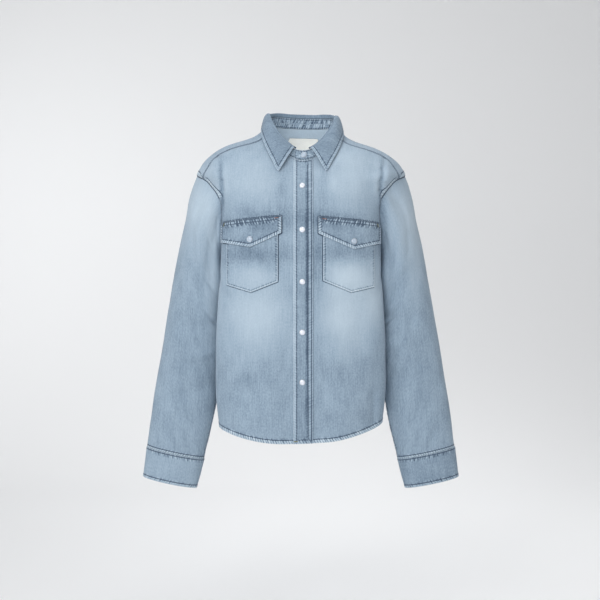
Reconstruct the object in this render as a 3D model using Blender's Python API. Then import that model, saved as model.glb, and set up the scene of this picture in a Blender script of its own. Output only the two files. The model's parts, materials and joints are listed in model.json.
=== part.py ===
"""Denim shirt, filled out as if worn, with no wearer inside.

Metres, +Z up. The front faces -Y, the wearer's left is +X. The origin is at the foot of the neck, in the
middle, where the wearer's shoulders carry the shirt. Every cut piece is a thin wall of its own, and
neighbours stand a hair apart along their seams.
"""
import math

import bmesh
import bpy
import numpy as np
from mathutils import Matrix, Vector

# ------------------------------------------------------------------ driving dimensions
CLOTH = 0.0012            # one layer of denim
BAND = 0.0020             # placket, cuffs and collar: folded cloth
SEAM_GAP = 0.0003         # air between neighbouring pieces
PATCH_GAP = 0.0007        # air under what lies on a curved front
PLACKET_GAP = 0.0005      # the same under the placket

NECK_LEVEL = 0.020        # foot of the collar where it crosses the shoulder
SHOULDER_LEVEL = -0.0858  # shoulder tip, where the sleeve starts
HEM_LEVEL = -0.612        # hem at the side seams
YOKE_LEVEL = -0.0945      # seam between the yoke and the back

FRONT_LEFT_EDGE = 0.0165  # the front on the wearer's left starts here, under the placket
FRONT_RIGHT_EDGE = 0.0150  # the other front runs past the middle, under the placket
PLACKET_FREE_EDGE = -0.0153
PLACKET_SEWN_EDGE = 0.0253
PLACKET_TOP_LEVEL = 0.0178
FRONT_BEND = 61.0         # turns at which the columns of points change their spacing, near the sides
BACK_BEND = 118.0
PINCH_SPREAD = 17.0       # degrees of turn over which the arms press the sides in

SNAP_RADIUS = 0.0060
SNAP_HEIGHT = 0.0026
CLOSURE_X = 0.0030        # line of the snaps
CUFF_SNAP_AROUND = 0.70   # share of the way round, on the back of the cuff
FRONT_SNAP_HEIGHTS = (-0.119, -0.211, -0.3187, -0.4233, -0.5268)


def table(columns, *rows):
    """A table with named columns, each an array."""
    return {name: np.array([row[k] for row in rows], float) for k, name in enumerate(columns.split())}


# One row for each section of the torso, from the hem to the neck. A section is a closed ring: level is its
# height at the side, front_drop and back_drop how far it sinks (or rises) towards the middle front and back,
# corner how square it is, pinch how far the arms press its sides in. It hangs a little unevenly: askew is its
# slope across the body and aside how far it is moved to the wearer's left.
TORSO = table("level half_width front back front_drop back_drop corner pinch front_flat back_flat askew aside",
              (-0.612, 0.193, 0.113, 0.104, 0.0426, 0.056, 3.0, 0.15, 2.2, 1.7, 0.028, 0.0),
              (-0.560, 0.202, 0.116, 0.106, 0.032, 0.036, 3.0, 0.173, 1.7, 1.5, 0.015, 0.0),
              (-0.460, 0.2065, 0.118, 0.104, 0.022, 0.012, 3.0, 0.224, 1.2, 1.0, 0.0, 0.0),
              (-0.360, 0.200, 0.119, 0.103, 0.020, 0.002, 3.0, 0.232, 1.0, 1.0, 0.0, 0.0),
              (-0.262, 0.190, 0.120, 0.108, 0.026, 0.000, 3.0, 0.200, 1.0, 1.0, 0.0, 0.0),
              (-0.182, 0.184, 0.119, 0.113, 0.036, -0.002, 3.0, 0.10, 1.0, 1.0, 0.0, 0.0),
              (-0.146, 0.1855, 0.118, 0.1125, 0.0415, -0.004, 2.9, 0.05, 1.0, 1.0, 0.0, 0.0),
              (-0.122, 0.196, 0.1165, 0.111, 0.0475, -0.004, 2.76, 0.02, 1.0, 1.0, 0.0, 0.0),
              (-0.102, 0.2115, 0.1142, 0.108, 0.0532, -0.006, 2.61, 0.0, 1.0, 1.0, 0.0, 0.0),
              (-0.0858, 0.2270, 0.1122, 0.105, 0.0580, -0.0095, 2.5, 0.0, 1.0, 1.1, 0.0, 0.0),
              (-0.070, 0.2215, 0.110, 0.101, 0.062, -0.0160, 2.4, 0.0, 1.0, 1.2, -0.002, 0.0),
              (-0.048, 0.2042, 0.105, 0.094, 0.068, -0.0230, 2.3, 0.0, 1.0, 1.5, -0.008, 0.0),
              (-0.022, 0.1625, 0.098, 0.084, 0.072, -0.025, 2.3, 0.0, 1.0, 2.2, -0.018, 0.001),
              (-0.004, 0.1110, 0.090, 0.073, 0.076, -0.019, 2.3, 0.0, 1.0, 3.5, -0.024, 0.0025),
              (0.020, 0.079, 0.081, 0.062, 0.0815, -0.011, 2.3, 0.0, 1.0, 5.0, -0.028, 0.0035))

# The armhole's way up the torso, as turns in front of and behind the side.
ARMHOLE = table("level front_turn back_turn",
                (-0.262, 90.0, 90.0),
                (-0.254, 83.5, 96.5),
                (-0.237, 77.5, 102.5),
                (-0.212, 73.0, 107.0),
                (-0.182, 70.0, 109.0),
                (-0.160, 68.5, 110.0),
                (-0.142, 67.3, 110.0),
                (-0.126, 68.0, 110.0),
                (-0.111, 72.2, 109.0),
                (-0.0945, 76.6, 106.0),
                (-0.090, 80.6, 102.0),
                (-0.0858, 84.8, 97.0))

TIP_TURNS = (88.3, 92.7)  # over the shoulder tip, between the front and the back of the armhole
SIDES = {"right": -1.0, "left": 1.0}   # the wearer's

# The seam along the front of the yoke, from the armhole up to the neck.
FORWARD_SEAM = table("level turn", (-0.0945, 76.6), (-0.0858, 74.4), (-0.070, 73.6), (-0.056, 73.5),
                     (-0.047, 73.2), (-0.033, 70.6), (-0.0105, 64.5), (0.020, 62.0))

# Folds of the torso, as soft ridges (or troughs, where height is negative) between two places.
METRES_PER_TURN = 0.0026
TORSO_FOLDS = table("turn_a level_a turn_b level_b height spread",
                    (70.0, -0.050, 65.5, -0.084, 0.0030, 0.012),     # where the fronts break towards the arms
                    (65.5, -0.084, 66.5, -0.140, 0.0035, 0.012),
                    (-70.0, -0.050, -65.0, -0.080, 0.0030, 0.012),
                    (-65.0, -0.080, -66.5, -0.135, 0.0035, 0.012),
                    (58.0, -0.590, 62.0, -0.470, -0.0040, 0.022),    # beside the front, above the hem
                    (-60.0, -0.600, -64.0, -0.500, -0.0030, 0.020),
                    (36.0, -0.600, 33.0, -0.450, 0.0030, 0.030),
                    (-30.0, -0.595, -36.0, -0.430, 0.0030, 0.030),
                    (118.0, -0.250, 146.0, -0.400, 0.0050, 0.022),   # across the back, down from the arms
                    (122.0, -0.300, 141.0, -0.470, -0.0050, 0.020),
                    (238.0, -0.240, 216.0, -0.360, 0.0050, 0.022),
                    (236.0, -0.300, 222.0, -0.450, -0.0050, 0.020),
                    (163.0, -0.130, 160.0, -0.330, 0.0040, 0.024),   # down from the yoke
                    (196.0, -0.140, 201.0, -0.300, 0.0040, 0.022),
                    (150.0, -0.600, 154.0, -0.470, 0.0050, 0.024),
                    (205.0, -0.600, 201.0, -0.500, 0.0045, 0.024))

# Folds of the sleeves, the same way, by share of the way round (front at a quarter, back at three quarters).
SLEEVE_FOLDS = {
    "left": table("around_a along_a around_b along_b height spread",
                  (0.17, 0.07, 0.19, 0.40, -0.0045, 0.014),
                  (0.29, 0.05, 0.25, 0.33, 0.0030, 0.016),
                  (0.10, 0.47, 0.27, 0.56, -0.0045, 0.014),
                  (0.07, 0.58, 0.22, 0.62, 0.0035, 0.014),
                  (0.12, 0.70, 0.36, 0.78, -0.0030, 0.014),
                  (0.80, 0.08, 0.82, 0.38, -0.0050, 0.016),
                  (0.66, 0.45, 0.92, 0.52, -0.0050, 0.014),
                  (0.64, 0.55, 0.88, 0.60, 0.0040, 0.014),
                  (0.60, 0.90, 0.78, 0.84, -0.0030, 0.012)),
    "right": table("around_a along_a around_b along_b height spread",
                   (0.20, 0.06, 0.18, 0.34, -0.0035, 0.015),
                   (0.31, 0.07, 0.27, 0.30, 0.0030, 0.016),
                   (0.09, 0.50, 0.30, 0.60, -0.0045, 0.015),
                   (0.08, 0.61, 0.20, 0.66, 0.0035, 0.013),
                   (0.15, 0.76, 0.40, 0.84, -0.0030, 0.014),
                   (0.81, 0.07, 0.79, 0.36, -0.0050, 0.016),
                   (0.68, 0.47, 0.90, 0.55, -0.0050, 0.014),
                   (0.62, 0.57, 0.90, 0.63, 0.0040, 0.014),
                   (0.62, 0.88, 0.80, 0.82, -0.0030, 0.012)),
}
SLEEVE_GIRTH = 0.42       # used to measure distances round a sleeve
SLEEVE_LENGTH = 0.62

# One row for each section of a sleeve: its outer and inner edge, half its depth and the middle of its depth.
SLEEVE = table("along outer_x outer_z inner_x inner_z half_depth middle_y",
               (0.00, 0.2270, -0.0858, 0.1520, -0.262, 0.072, 0.000),
               (0.07, 0.2362, -0.1105, 0.1590, -0.279, 0.071, 0.000),
               (0.14, 0.2440, -0.136, 0.1620, -0.296, 0.069, 0.000),
               (0.24, 0.2525, -0.182, 0.1640, -0.325, 0.066, 0.000),
               (0.36, 0.2665, -0.245, 0.1660, -0.365, 0.061, -0.001),
               (0.50, 0.2820, -0.330, 0.1680, -0.410, 0.055, -0.003),
               (0.66, 0.3025, -0.452, 0.1740, -0.492, 0.047, -0.006),
               (0.83, 0.3220, -0.570, 0.1890, -0.602, 0.038, -0.009),
               (1.00, 0.3360, -0.676, 0.2115, -0.7025, 0.029, -0.012))

CUFF = table("along outer_x outer_z inner_x inner_z half_depth middle_y",
             (0.0, 0.3370, -0.6763, 0.2105, -0.7028, 0.0290, -0.012),
             (1.0, 0.3450, -0.7410, 0.2270, -0.7660, 0.0265, -0.012))

# The collar. The stand's shown end laps over the other, both ends rounded off at the top.
STAND_HEIGHT = 0.0225
STAND_GAP = 0.0006         # from the neck seam up to the stand
STAND_LEAN = math.radians(14)
STAND_OVERLAP_TURN = 12.5  # the end that shows
STAND_UNDERLAP_TURN = 8.5  # the end beneath it
STAND_LAP = 0.0013         # how far each end stands out or in, so that one clears the other
STAND_END_DROP = 0.0115    # height of the rounding at each end
STAND_END_TURN = 6.5       # and its length
COLLAR_SNAP_HEIGHT = 0.0120

# The fall: where each line down it leaves the roll, and where it ends over the shoulders.
FALL = table("roll_turn edge_turn edge_level rise lift",
             (10.5, 26.4, -0.0314, 0.0012, 0.0045),
             (11.5, 28.8, -0.0296, 0.0013, 0.0045),
             (12.5, 30.2, -0.0272, 0.0014, 0.0045),
             (17.0, 34.2, -0.0192, 0.0018, 0.0045),
             (27.0, 43.0, -0.0084, 0.0028, 0.0045),
             (40.0, 54.3, 0.0005, 0.0038, 0.0045),
             (62.0, 71.0, 0.0085, 0.0050, 0.0045),
             (90.0, 90.0, 0.0135, 0.0058, 0.0045),
             (120.0, 120.0, 0.0115, 0.0060, 0.0045),
             (180.0, 180.0, 0.0050, 0.0060, 0.0045))
FALL_ASIDE = 1.4           # its points are even about the line of the snaps
FALL_BOW = 0.005           # how far it stands off between the roll and its edge
ROLL_RADIUS = 0.0034

# The pockets and their flaps, in x and z on the front. Outer is towards the side seam.
POCKETS = {
    "right": dict(inner_x=-0.0474, outer_x=-0.1545, inner_z=-0.3186, outer_z=-0.3248, tip_x=-0.1035,
                  tip_z=-0.3404, top_inner_z=-0.1950, top_outer_z=-0.2040),
    "left": dict(inner_x=0.0462, outer_x=0.1535, inner_z=-0.3166, outer_z=-0.3290, tip_x=0.1045,
                 tip_z=-0.3404, top_inner_z=-0.1950, top_outer_z=-0.2040),
}
FLAPS = {
    "right": dict(inner_x=-0.0401, outer_x=-0.1649, inner_z=-0.2177, outer_z=-0.2354, tip_x=-0.1045,
                  tip_z=-0.2468, top_inner_z=-0.1813, top_outer_z=-0.1927),
    "left": dict(inner_x=0.0367, outer_x=0.1650, inner_z=-0.2190, outer_z=-0.2375, tip_x=0.1095,
                 tip_z=-0.2510, top_inner_z=-0.1835, top_outer_z=-0.1940),
}
FLAP_THICKNESS = 0.0016
FLAP_FLARE = 0.0008       # how far its foot stands off
FLAP_SNAP_ABOVE_TIP = 0.0165

LABEL = dict(left=-0.0300, right=0.0400, top_level=-0.0070, bottom_level=-0.0480, thickness=0.0010, gap=0.0010)

DENIM = dict(colour=(0.40, 0.50, 0.60), roughness=0.85, metallic=0.0)
LABEL_CLOTH = dict(colour=(0.82, 0.79, 0.70), roughness=0.75, metallic=0.0)
PEARL = dict(colour=(0.86, 0.87, 0.88), roughness=0.25, metallic=0.0)


# ------------------------------------------------------------------ scene and materials
for thing in list(bpy.data.objects):
    bpy.data.objects.remove(thing, do_unlink=True)

shirt = bpy.data.collections.new("denim_shirt")
bpy.context.scene.collection.children.link(shirt)


def material(name, colour, roughness, metallic):
    made = bpy.data.materials.new(name)
    made.use_nodes = True
    shader = made.node_tree.nodes["Principled BSDF"]
    shader.inputs["Base Color"].default_value = (*colour, 1.0)
    shader.inputs["Roughness"].default_value = roughness
    shader.inputs["Metallic"].default_value = metallic
    made.diffuse_color = (*colour, 1.0)
    return made


# ------------------------------------------------------------------ smooth interpolation and the torso's form
def smooth(knots, values, at):
    """Values between a table's rows, on a cubic curve whose slopes come from the neighbouring rows."""
    at = np.clip(np.asarray(at, float), knots[0], knots[-1])
    row = np.clip(np.searchsorted(knots, at, side="right") - 1, 0, len(knots) - 2)
    slopes = np.gradient(values, knots)
    width = knots[row + 1] - knots[row]
    f = (at - knots[row]) / width
    return (values[row] * (1 + 2 * f) * (1 - f) ** 2 + values[row + 1] * f * f * (3 - 2 * f)
            + slopes[row] * width * f * (1 - f) ** 2 - slopes[row + 1] * width * f * f * (1 - f))


def bell(distance, spread):
    return np.exp(-(distance / spread) ** 2)


def folds(rows, across, along, spans, wrap, metres_across, metres_along):
    """The sum of a table's folds at a place: each is a bell round the line between its two ends."""
    height = 0.0
    for k in range(len(rows["height"])):
        start_across, start_along, end_across, end_along = (rows[name][k] for name in spans)
        away_across = ((across - start_across + wrap / 2) % wrap - wrap / 2) * metres_across
        away_along = (along - start_along) * metres_along
        line_across, line_along = (end_across - start_across) * metres_across, (end_along - start_along) * metres_along
        share = (away_across * line_across + away_along * line_along) / (line_across ** 2 + line_along ** 2)
        share = np.clip(share, 0, 1)
        distance = np.hypot(away_across - share * line_across, away_along - share * line_along)
        height = height + rows["height"][k] * bell(distance, rows["spread"][k])
    return height


def torso_folds(turn, level):
    return folds(TORSO_FOLDS, turn, level, ("turn_a", "level_a", "turn_b", "level_b"), 360.0, METRES_PER_TURN, 1.0)


def torso(turn, level):
    """A point of the torso's outer face, folds and all."""
    turn, level = np.broadcast_arrays(np.asarray(turn, float), np.asarray(level, float))
    inside = np.clip(level, HEM_LEVEL + 0.001, NECK_LEVEL - 0.001)
    normal = normal_of(smooth_torso, turn, inside, 0.2, 0.0005)
    return smooth_torso(turn, level) + normal * torso_folds(turn, level)[..., None]


def smooth_torso(turn, level):
    """The torso's form without its folds. Turn is in degrees from the middle front to the wearer's left."""
    turn, level = np.broadcast_arrays(np.asarray(turn, float), np.asarray(level, float))
    at = {name: smooth(TORSO["level"], TORSO[name], level) for name in TORSO}
    sine, cosine = np.sin(np.radians(turn)), np.cos(np.radians(turn))
    ahead = cosine > 0
    depth = np.where(ahead, at["front"], at["back"])
    drop = np.where(ahead, at["front_drop"], at["back_drop"])
    n = at["corner"]
    reach = (np.abs(sine / at["half_width"]) ** n + np.abs(cosine / depth) ** n) ** (-1 / n)
    from_side = (turn % 360 + 90) % 180 - 90
    from_side = 90 - np.abs(from_side)
    x = reach * sine * (1 - at["pinch"] * bell(from_side, PINCH_SPREAD))
    sinking = 1 - np.abs(sine) ** (2 * np.where(ahead, at["front_flat"], at["back_flat"]))
    return np.stack([x + at["aside"], -reach * cosine, level - drop * sinking + at["askew"] * x], axis=-1)


def normal_of(surface, a, b, step_a, step_b):
    """The outward unit normal of a surface of two values, from points a little to each side."""
    along = surface(a + step_a, b) - surface(a - step_a, b)
    up = surface(a, b + step_b) - surface(a, b - step_b)
    normal = np.cross(along, up)
    return normal / np.linalg.norm(normal, axis=-1, keepdims=True)


def torso_normal(turn, level):
    turn, level = np.broadcast_arrays(np.asarray(turn, float), np.asarray(level, float))
    return normal_of(torso, turn, np.clip(level, HEM_LEVEL + 0.001, NECK_LEVEL - 0.001), 0.2, 0.0005)


def turn_at_x(x, level):
    """The turn on the front of the torso that lies at x."""
    turn = np.degrees(np.arctan2(x, 0.115)) + 0 * np.asarray(level, float)
    for _ in range(30):
        turn = turn + np.degrees((x - torso(turn, level)[..., 0]) / 0.14)
    return turn


def place_on_front(x, z):
    """The turn and level of the point of the front at x and z."""
    x, z = np.broadcast_arrays(np.asarray(x, float), np.asarray(z, float))
    turn, level = np.degrees(np.arctan2(x, 0.115)), z + 0.03
    for _ in range(40):
        here = torso(turn, level)
        turn = turn + np.degrees((x - here[..., 0]) / 0.16)
        level = np.clip(level + 0.8 * (z - here[..., 2]), HEM_LEVEL, NECK_LEVEL)
    return turn, level


# ------------------------------------------------------------------ walls of cloth
def wall(name, points, normals, faces, thickness, look, seam=SEAM_GAP):
    """A closed wall from an open sheet of faces: the sheet, the same sheet moved in, and rims between them.

    The sheet is drawn in by half a seam gap along its free edges.
    """
    points = np.array(points, float).reshape(-1, 3)
    normals = np.array(normals, float).reshape(-1, 3)
    used = {}
    inward = np.zeros_like(points)
    for face in faces:
        centre = points[list(face)].mean(axis=0)
        for a, b in zip(face, face[1:] + face[:1]):
            used.setdefault((min(a, b), max(a, b)), []).append((a, b))
            inward[a] += centre - points[a]
    rims = [ways[0] for ways in used.values() if len(ways) == 1]
    edge = sorted({a for way in rims for a in way})
    unit = normals / np.linalg.norm(normals, axis=1, keepdims=True)
    inward -= (inward * unit).sum(axis=1, keepdims=True) * unit
    for a in edge:
        points[a] += inward[a] / np.linalg.norm(inward[a]) * seam * 0.5
    count = len(points)
    everything = np.concatenate([points, points - normals * thickness])
    sides = [tuple(face) for face in faces]
    sides += [tuple(count + a for a in reversed(face)) for face in faces]
    sides += [(b, a, count + a, count + b) for a, b in rims]
    mesh = bpy.data.meshes.new(name)
    mesh.from_pydata(everything.tolist(), [], sides)
    mesh.update()
    mesh.shade_smooth()
    mesh.set_sharp_from_angle(angle=math.radians(50))
    made = bpy.data.objects.new(name, mesh)
    mesh.materials.append(material(name, **look))
    shirt.objects.link(made)
    return made


def grid_faces(rows, columns, ring=False, start=0):
    """Faces of a grid of points kept row by row. A ring's last column is joined to its first."""
    last = columns if ring else columns - 1
    return [(start + i * columns + j, start + i * columns + (j + 1) % columns,
             start + (i + 1) * columns + (j + 1) % columns, start + (i + 1) * columns + j)
            for i in range(rows - 1) for j in range(last)]


def spread(*stops_and_counts):
    """Rows of values through columns of stops: first, count, next, count, ... , last. A count is of steps."""
    stops, counts = stops_and_counts[::2], stops_and_counts[1::2]
    pieces = []
    for first, last, count in zip(stops, stops[1:], counts):
        share = np.linspace(0, 1, count + 1)[:-1]
        pieces.append(np.asarray(first)[:, None] * (1 - share) + np.asarray(last)[:, None] * share)
    return np.concatenate(pieces + [np.asarray(stops[-1])[:, None]], axis=1)


# ------------------------------------------------------------------ sleeves
def sleeve_section(shape, around, along):
    """A point of a sleeve or cuff tube, on the wearer's left. Around runs from the inner edge to the front."""
    at = {name: smooth(shape["along"], shape[name], along) for name in shape}
    angle = 2 * math.pi * around
    out = 0.5 - 0.5 * np.cos(angle)
    x = at["inner_x"] + (at["outer_x"] - at["inner_x"]) * out
    z = at["inner_z"] + (at["outer_z"] - at["inner_z"]) * out
    y = at["middle_y"] - at["half_depth"] * np.sin(angle)
    return np.stack(np.broadcast_arrays(x, y, z), axis=-1)


def armhole_loop():
    """Turns and levels round the armhole: up the front from the underarm, over the tip and down the back."""
    levels = ARMHOLE["level"]
    tip = [(turn, SHOULDER_LEVEL) for turn in TIP_TURNS]
    front = list(zip(ARMHOLE["front_turn"], levels))
    back = list(zip(ARMHOLE["back_turn"], levels))[:0:-1]
    return np.array(front + tip + back)


LOOP = armhole_loop()
ARMHOLE_REACH = 0.22      # share of the sleeve over which the armhole's own shape dies away
SLEEVE_ROWS = np.array([0, 0.025, 0.055, 0.09, 0.13, 0.17, 0.215, 0.26, 0.31, 0.36, 0.42, 0.475, 0.53, 0.585,
                        0.64, 0.70, 0.76, 0.82, 0.88, 0.94, 1.0])


def mirror(points):
    return points * np.array([-1.0, 1.0, 1.0])


def mitred(one, other):
    """The shared direction in which two walls that meet at an angle are made thick."""
    both = one + other
    both /= np.linalg.norm(both, axis=-1, keepdims=True)
    stretch = 1 / np.clip((both * one).sum(axis=-1, keepdims=True), 0.7, 1)
    return both * stretch


def loop_shares(points):
    """How far round the armhole each of its points lies, with the shoulder tip at a half."""
    steps = np.linalg.norm(np.roll(points, -1, axis=0) - points, axis=1)
    reached = np.concatenate([[0], np.cumsum(steps)])
    first = len(ARMHOLE["level"])
    tip = (reached[first] + reached[first + 1]) / 2
    total = reached[-1]
    reached = reached[:-1]
    return np.where(reached < tip, 0.5 * reached / tip, 0.5 + 0.5 * (reached - tip) / (total - tip))


def ring_normals(rings):
    """Outward normals of a tube given ring by ring, from the neighbouring points."""
    around = np.roll(rings, -1, axis=1) - np.roll(rings, 1, axis=1)
    along = np.gradient(rings, axis=0)
    normals = np.cross(along, around)
    return normals / np.linalg.norm(normals, axis=-1, keepdims=True)


def sleeve_rings(side):
    """A sleeve's outer face and its normals, ring by ring, and the directions shared with the armhole."""
    sign = SIDES[side]
    turned = np.array([sign, 1.0, 1.0])
    loop = torso(sign * LOOP[:, 0], LOOP[:, 1])
    shares = loop_shares(loop)
    rings = []
    for along in SLEEVE_ROWS:
        fade = np.clip(1 - along / ARMHOLE_REACH, 0, 1)
        fade = fade * fade * (3 - 2 * fade)
        start = sleeve_section(SLEEVE, shares, 0.0) * turned
        rings.append(sleeve_section(SLEEVE, shares, along) * turned + fade * (loop - start))
    rings = np.array(rings)
    normals = ring_normals(rings) * sign
    heights = folds(SLEEVE_FOLDS[side], shares[None, :], SLEEVE_ROWS[:, None],
                    ("around_a", "along_a", "around_b", "along_b"), 1.0, SLEEVE_GIRTH, SLEEVE_LENGTH)
    heights = heights * np.minimum(SLEEVE_ROWS / 0.06, 1)[:, None] * np.minimum((1 - SLEEVE_ROWS) / 0.06, 1)[:, None]
    rings = rings + normals * heights[..., None]
    normals = ring_normals(rings) * sign
    normals[0] = mitred(torso_normal(sign * LOOP[:, 0], LOOP[:, 1]), normals[0])
    return rings, normals


RINGS = {side: sleeve_rings(side) for side in SIDES}


def tube_faces(rows, columns, side):
    faces = grid_faces(rows, columns, ring=True)
    return [tuple(reversed(face)) for face in faces] if side == "left" else faces


def sleeve(side):
    """One sleeve, cut as one piece and closed by the seam under the arm."""
    rings, normals = RINGS[side]
    return wall(f"sleeve_{side}", rings, normals, tube_faces(*rings.shape[:2], side), CLOTH, DENIM)


def cuff(side):
    """A cuff: a folded band round the end of the sleeve."""
    shares = np.linspace(0, 1, 28, endpoint=False)
    rings = np.array([sleeve_section(CUFF, shares, along) for along in (0.0, 0.08, 0.5, 0.92, 1.0)])
    normals = ring_normals(rings)
    if side == "right":
        rings, normals = mirror(rings), mirror(normals)
    return wall(f"cuff_{side}", rings, normals, tube_faces(*rings.shape[:2], side), BAND, DENIM)


# ------------------------------------------------------------------ fronts, back and yoke
def panel_normals(turns, levels):
    """Normals of a torso panel, mitred to the sleeve where the panel meets an armhole."""
    normals = torso_normal(turns, levels)
    sided = np.where(turns > 180, turns - 360, turns)
    for k, (turn, level) in enumerate(LOOP):
        for side, sign in SIDES.items():
            here = (np.abs(sided - sign * turn) < 0.01) & (np.abs(levels - level) < 1e-5)
            normals[here] = RINGS[side][1][0, k]
    return normals


BELOW_ARMHOLE = np.array([-0.612, -0.572, -0.530, -0.488, -0.446, -0.404, -0.364, -0.328, -0.294])
ABOVE_ARMHOLE = np.array([-0.070, -0.056, -0.042, -0.028, -0.014, -0.002, 0.009, NECK_LEVEL])


def front(side):
    """A front: from its edge in the middle to the side seam, the armhole and the yoke."""
    levels = np.concatenate([BELOW_ARMHOLE, ARMHOLE["level"], ABOVE_ARMHOLE])
    above = levels > YOKE_LEVEL + 1e-6
    seam = np.concatenate([np.full(len(BELOW_ARMHOLE), 90.0), ARMHOLE["front_turn"], ABOVE_ARMHOLE])
    seam[above] = smooth(FORWARD_SEAM["level"], FORWARD_SEAM["turn"], levels[above])
    bend = np.minimum(FRONT_BEND, seam - 8)
    if side == "left":
        edge = turn_at_x(FRONT_LEFT_EDGE, levels)
        turns = spread(edge, 8, bend, 4, seam)
    else:
        edge = turn_at_x(FRONT_RIGHT_EDGE, levels)
        turns = spread(-seam, 4, -bend, 9, edge)
    heights = np.repeat(levels[:, None], turns.shape[1], axis=1)
    faces = grid_faces(*turns.shape)
    return wall(f"front_{side}", torso(turns, heights), panel_normals(turns, heights), faces, CLOTH, DENIM)


BACK_COLUMNS = 23


def back_turns(seam):
    """Turns across the back, from one side's seam to the other's."""
    bend = np.full(len(seam), BACK_BEND)
    return spread(seam, 4, bend, 14, 360 - bend, 4, 360 - seam)


def back():
    """The back: one piece from the hem to the yoke."""
    armhole = ARMHOLE["level"] <= YOKE_LEVEL + 1e-6
    levels = np.concatenate([BELOW_ARMHOLE, ARMHOLE["level"][armhole]])
    seam = np.concatenate([np.full(len(BELOW_ARMHOLE), 90.0), ARMHOLE["back_turn"][armhole]])
    turns = back_turns(seam)
    heights = np.repeat(levels[:, None], turns.shape[1], axis=1)
    return wall("back", torso(turns, heights), panel_normals(turns, heights), grid_faces(*turns.shape), CLOTH, DENIM)


def yoke():
    """The yoke: over both shoulders and the top of the back, with no seam on the ridge of the shoulder."""
    low = ARMHOLE["level"] >= YOKE_LEVEL - 1e-6
    low_levels, low_seam = ARMHOLE["level"][low], ARMHOLE["back_turn"][low]
    low_turns = back_turns(low_seam)
    high_levels = np.concatenate([[SHOULDER_LEVEL], ABOVE_ARMHOLE])
    forward = smooth(FORWARD_SEAM["level"], FORWARD_SEAM["turn"], high_levels)
    arm = ARMHOLE["front_turn"]
    tip_turns = np.array([forward[0], arm[-2], arm[-1], *TIP_TURNS])
    share = (tip_turns - tip_turns[0]) / (low_seam[-1] - tip_turns[0])
    near = forward[:, None] + (low_seam[-1] - forward)[:, None] * share
    middle = np.repeat(low_turns[-1:], len(high_levels), axis=0)
    high_turns = np.concatenate([near, middle, 360 - near[:, ::-1]], axis=1)
    columns = high_turns.shape[1]
    low_count = (len(low_levels) - 1) * BACK_COLUMNS
    turns = np.concatenate([low_turns[:-1].ravel(), high_turns.ravel()])
    levels = np.concatenate([np.repeat(low_levels[:-1], BACK_COLUMNS), np.repeat(high_levels, columns)])
    faces = grid_faces(len(low_levels) - 1, BACK_COLUMNS) + grid_faces(len(high_levels), columns, start=low_count)
    last_low = (len(low_levels) - 2) * BACK_COLUMNS
    first_high = low_count + len(tip_turns)
    faces += [(last_low + j, last_low + j + 1, first_high + j + 1, first_high + j)
              for j in range(BACK_COLUMNS - 1)]
    # the corner in front of each armhole, between the forward seam and the sleeve
    seam_level = ARMHOLE["level"][-2]
    seam_turn = float(smooth(FORWARD_SEAM["level"], FORWARD_SEAM["turn"], seam_level))
    corner = [(arm[-3], YOKE_LEVEL), (seam_turn, seam_level), (arm[-2], seam_level)]
    for mirrored in (False, True):
        start = len(turns)
        turns = np.concatenate([turns, [360 - turn if mirrored else turn for turn, _ in corner]])
        levels = np.concatenate([levels, [level for _, level in corner]])
        row = [low_count + (columns - 1 - k if mirrored else k) for k in range(3)]
        wedge = [(start, start + 2, start + 1), (start + 1, start + 2, row[1], row[0]), (start + 2, row[2], row[1])]
        faces += [tuple(reversed(face)) for face in wedge] if mirrored else wedge
    return wall("yoke", torso(turns, levels), panel_normals(turns, levels), faces, CLOTH, DENIM)


# ------------------------------------------------------------------ collar
def stand_point(turn, height):
    """A point of the collar stand's outer face, a height up its slope from the neck seam."""
    foot = torso(turn, NECK_LEVEL)
    way = foot * np.array([-1.0, -1.0, 0.0])
    way = way / np.linalg.norm(way, axis=-1, keepdims=True)
    slope = way * math.sin(STAND_LEAN) + np.array([0, 0, math.cos(STAND_LEAN)])
    return foot + np.asarray(height, float)[..., None] * slope


def lap(turn):
    """How far out the stand stands: its shown end lies over the other."""
    over = np.clip((40 - turn) / 30, 0, 1)
    under = np.clip((turn - 320) / 30, 0, 1)
    return STAND_LAP * (over * over * (3 - 2 * over) - under * under * (3 - 2 * under))


def stand_surface(turn, height):
    outward = stand_point(turn, 0 * height) * np.array([1.0, 1.0, 0.0])
    outward = outward / np.linalg.norm(outward, axis=-1, keepdims=True)
    return stand_point(turn, height) + outward * np.asarray(lap(turn))[..., None]


def collar_stand():
    """The band round the neck, with rounded ends that lap at the front."""
    first, last = -STAND_OVERLAP_TURN, 360 + STAND_UNDERLAP_TURN
    ends = np.array([0, 0.8, 2.0, 3.8, 6.5, 10.0])
    turns = np.concatenate([first + ends, np.linspace(first + 16, last - 16, 38), (last - ends)[::-1]])
    run = np.clip(np.minimum(turns - first, last - turns) / STAND_END_TURN, 0, 1)
    top = STAND_HEIGHT - STAND_END_DROP * (1 - np.sqrt(1 - (1 - run) ** 2))
    heights = np.linspace(0, 1, 4)[:, None] * (top - STAND_GAP)[None, :] + STAND_GAP
    grid = np.repeat(turns[None, :], 4, axis=0)
    points = stand_surface(grid, heights)
    normals = normal_of(stand_surface, grid, heights, 0.3, 0.0005)
    return wall("collar_stand", points, normals, grid_faces(*grid.shape), BAND, DENIM)


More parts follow.
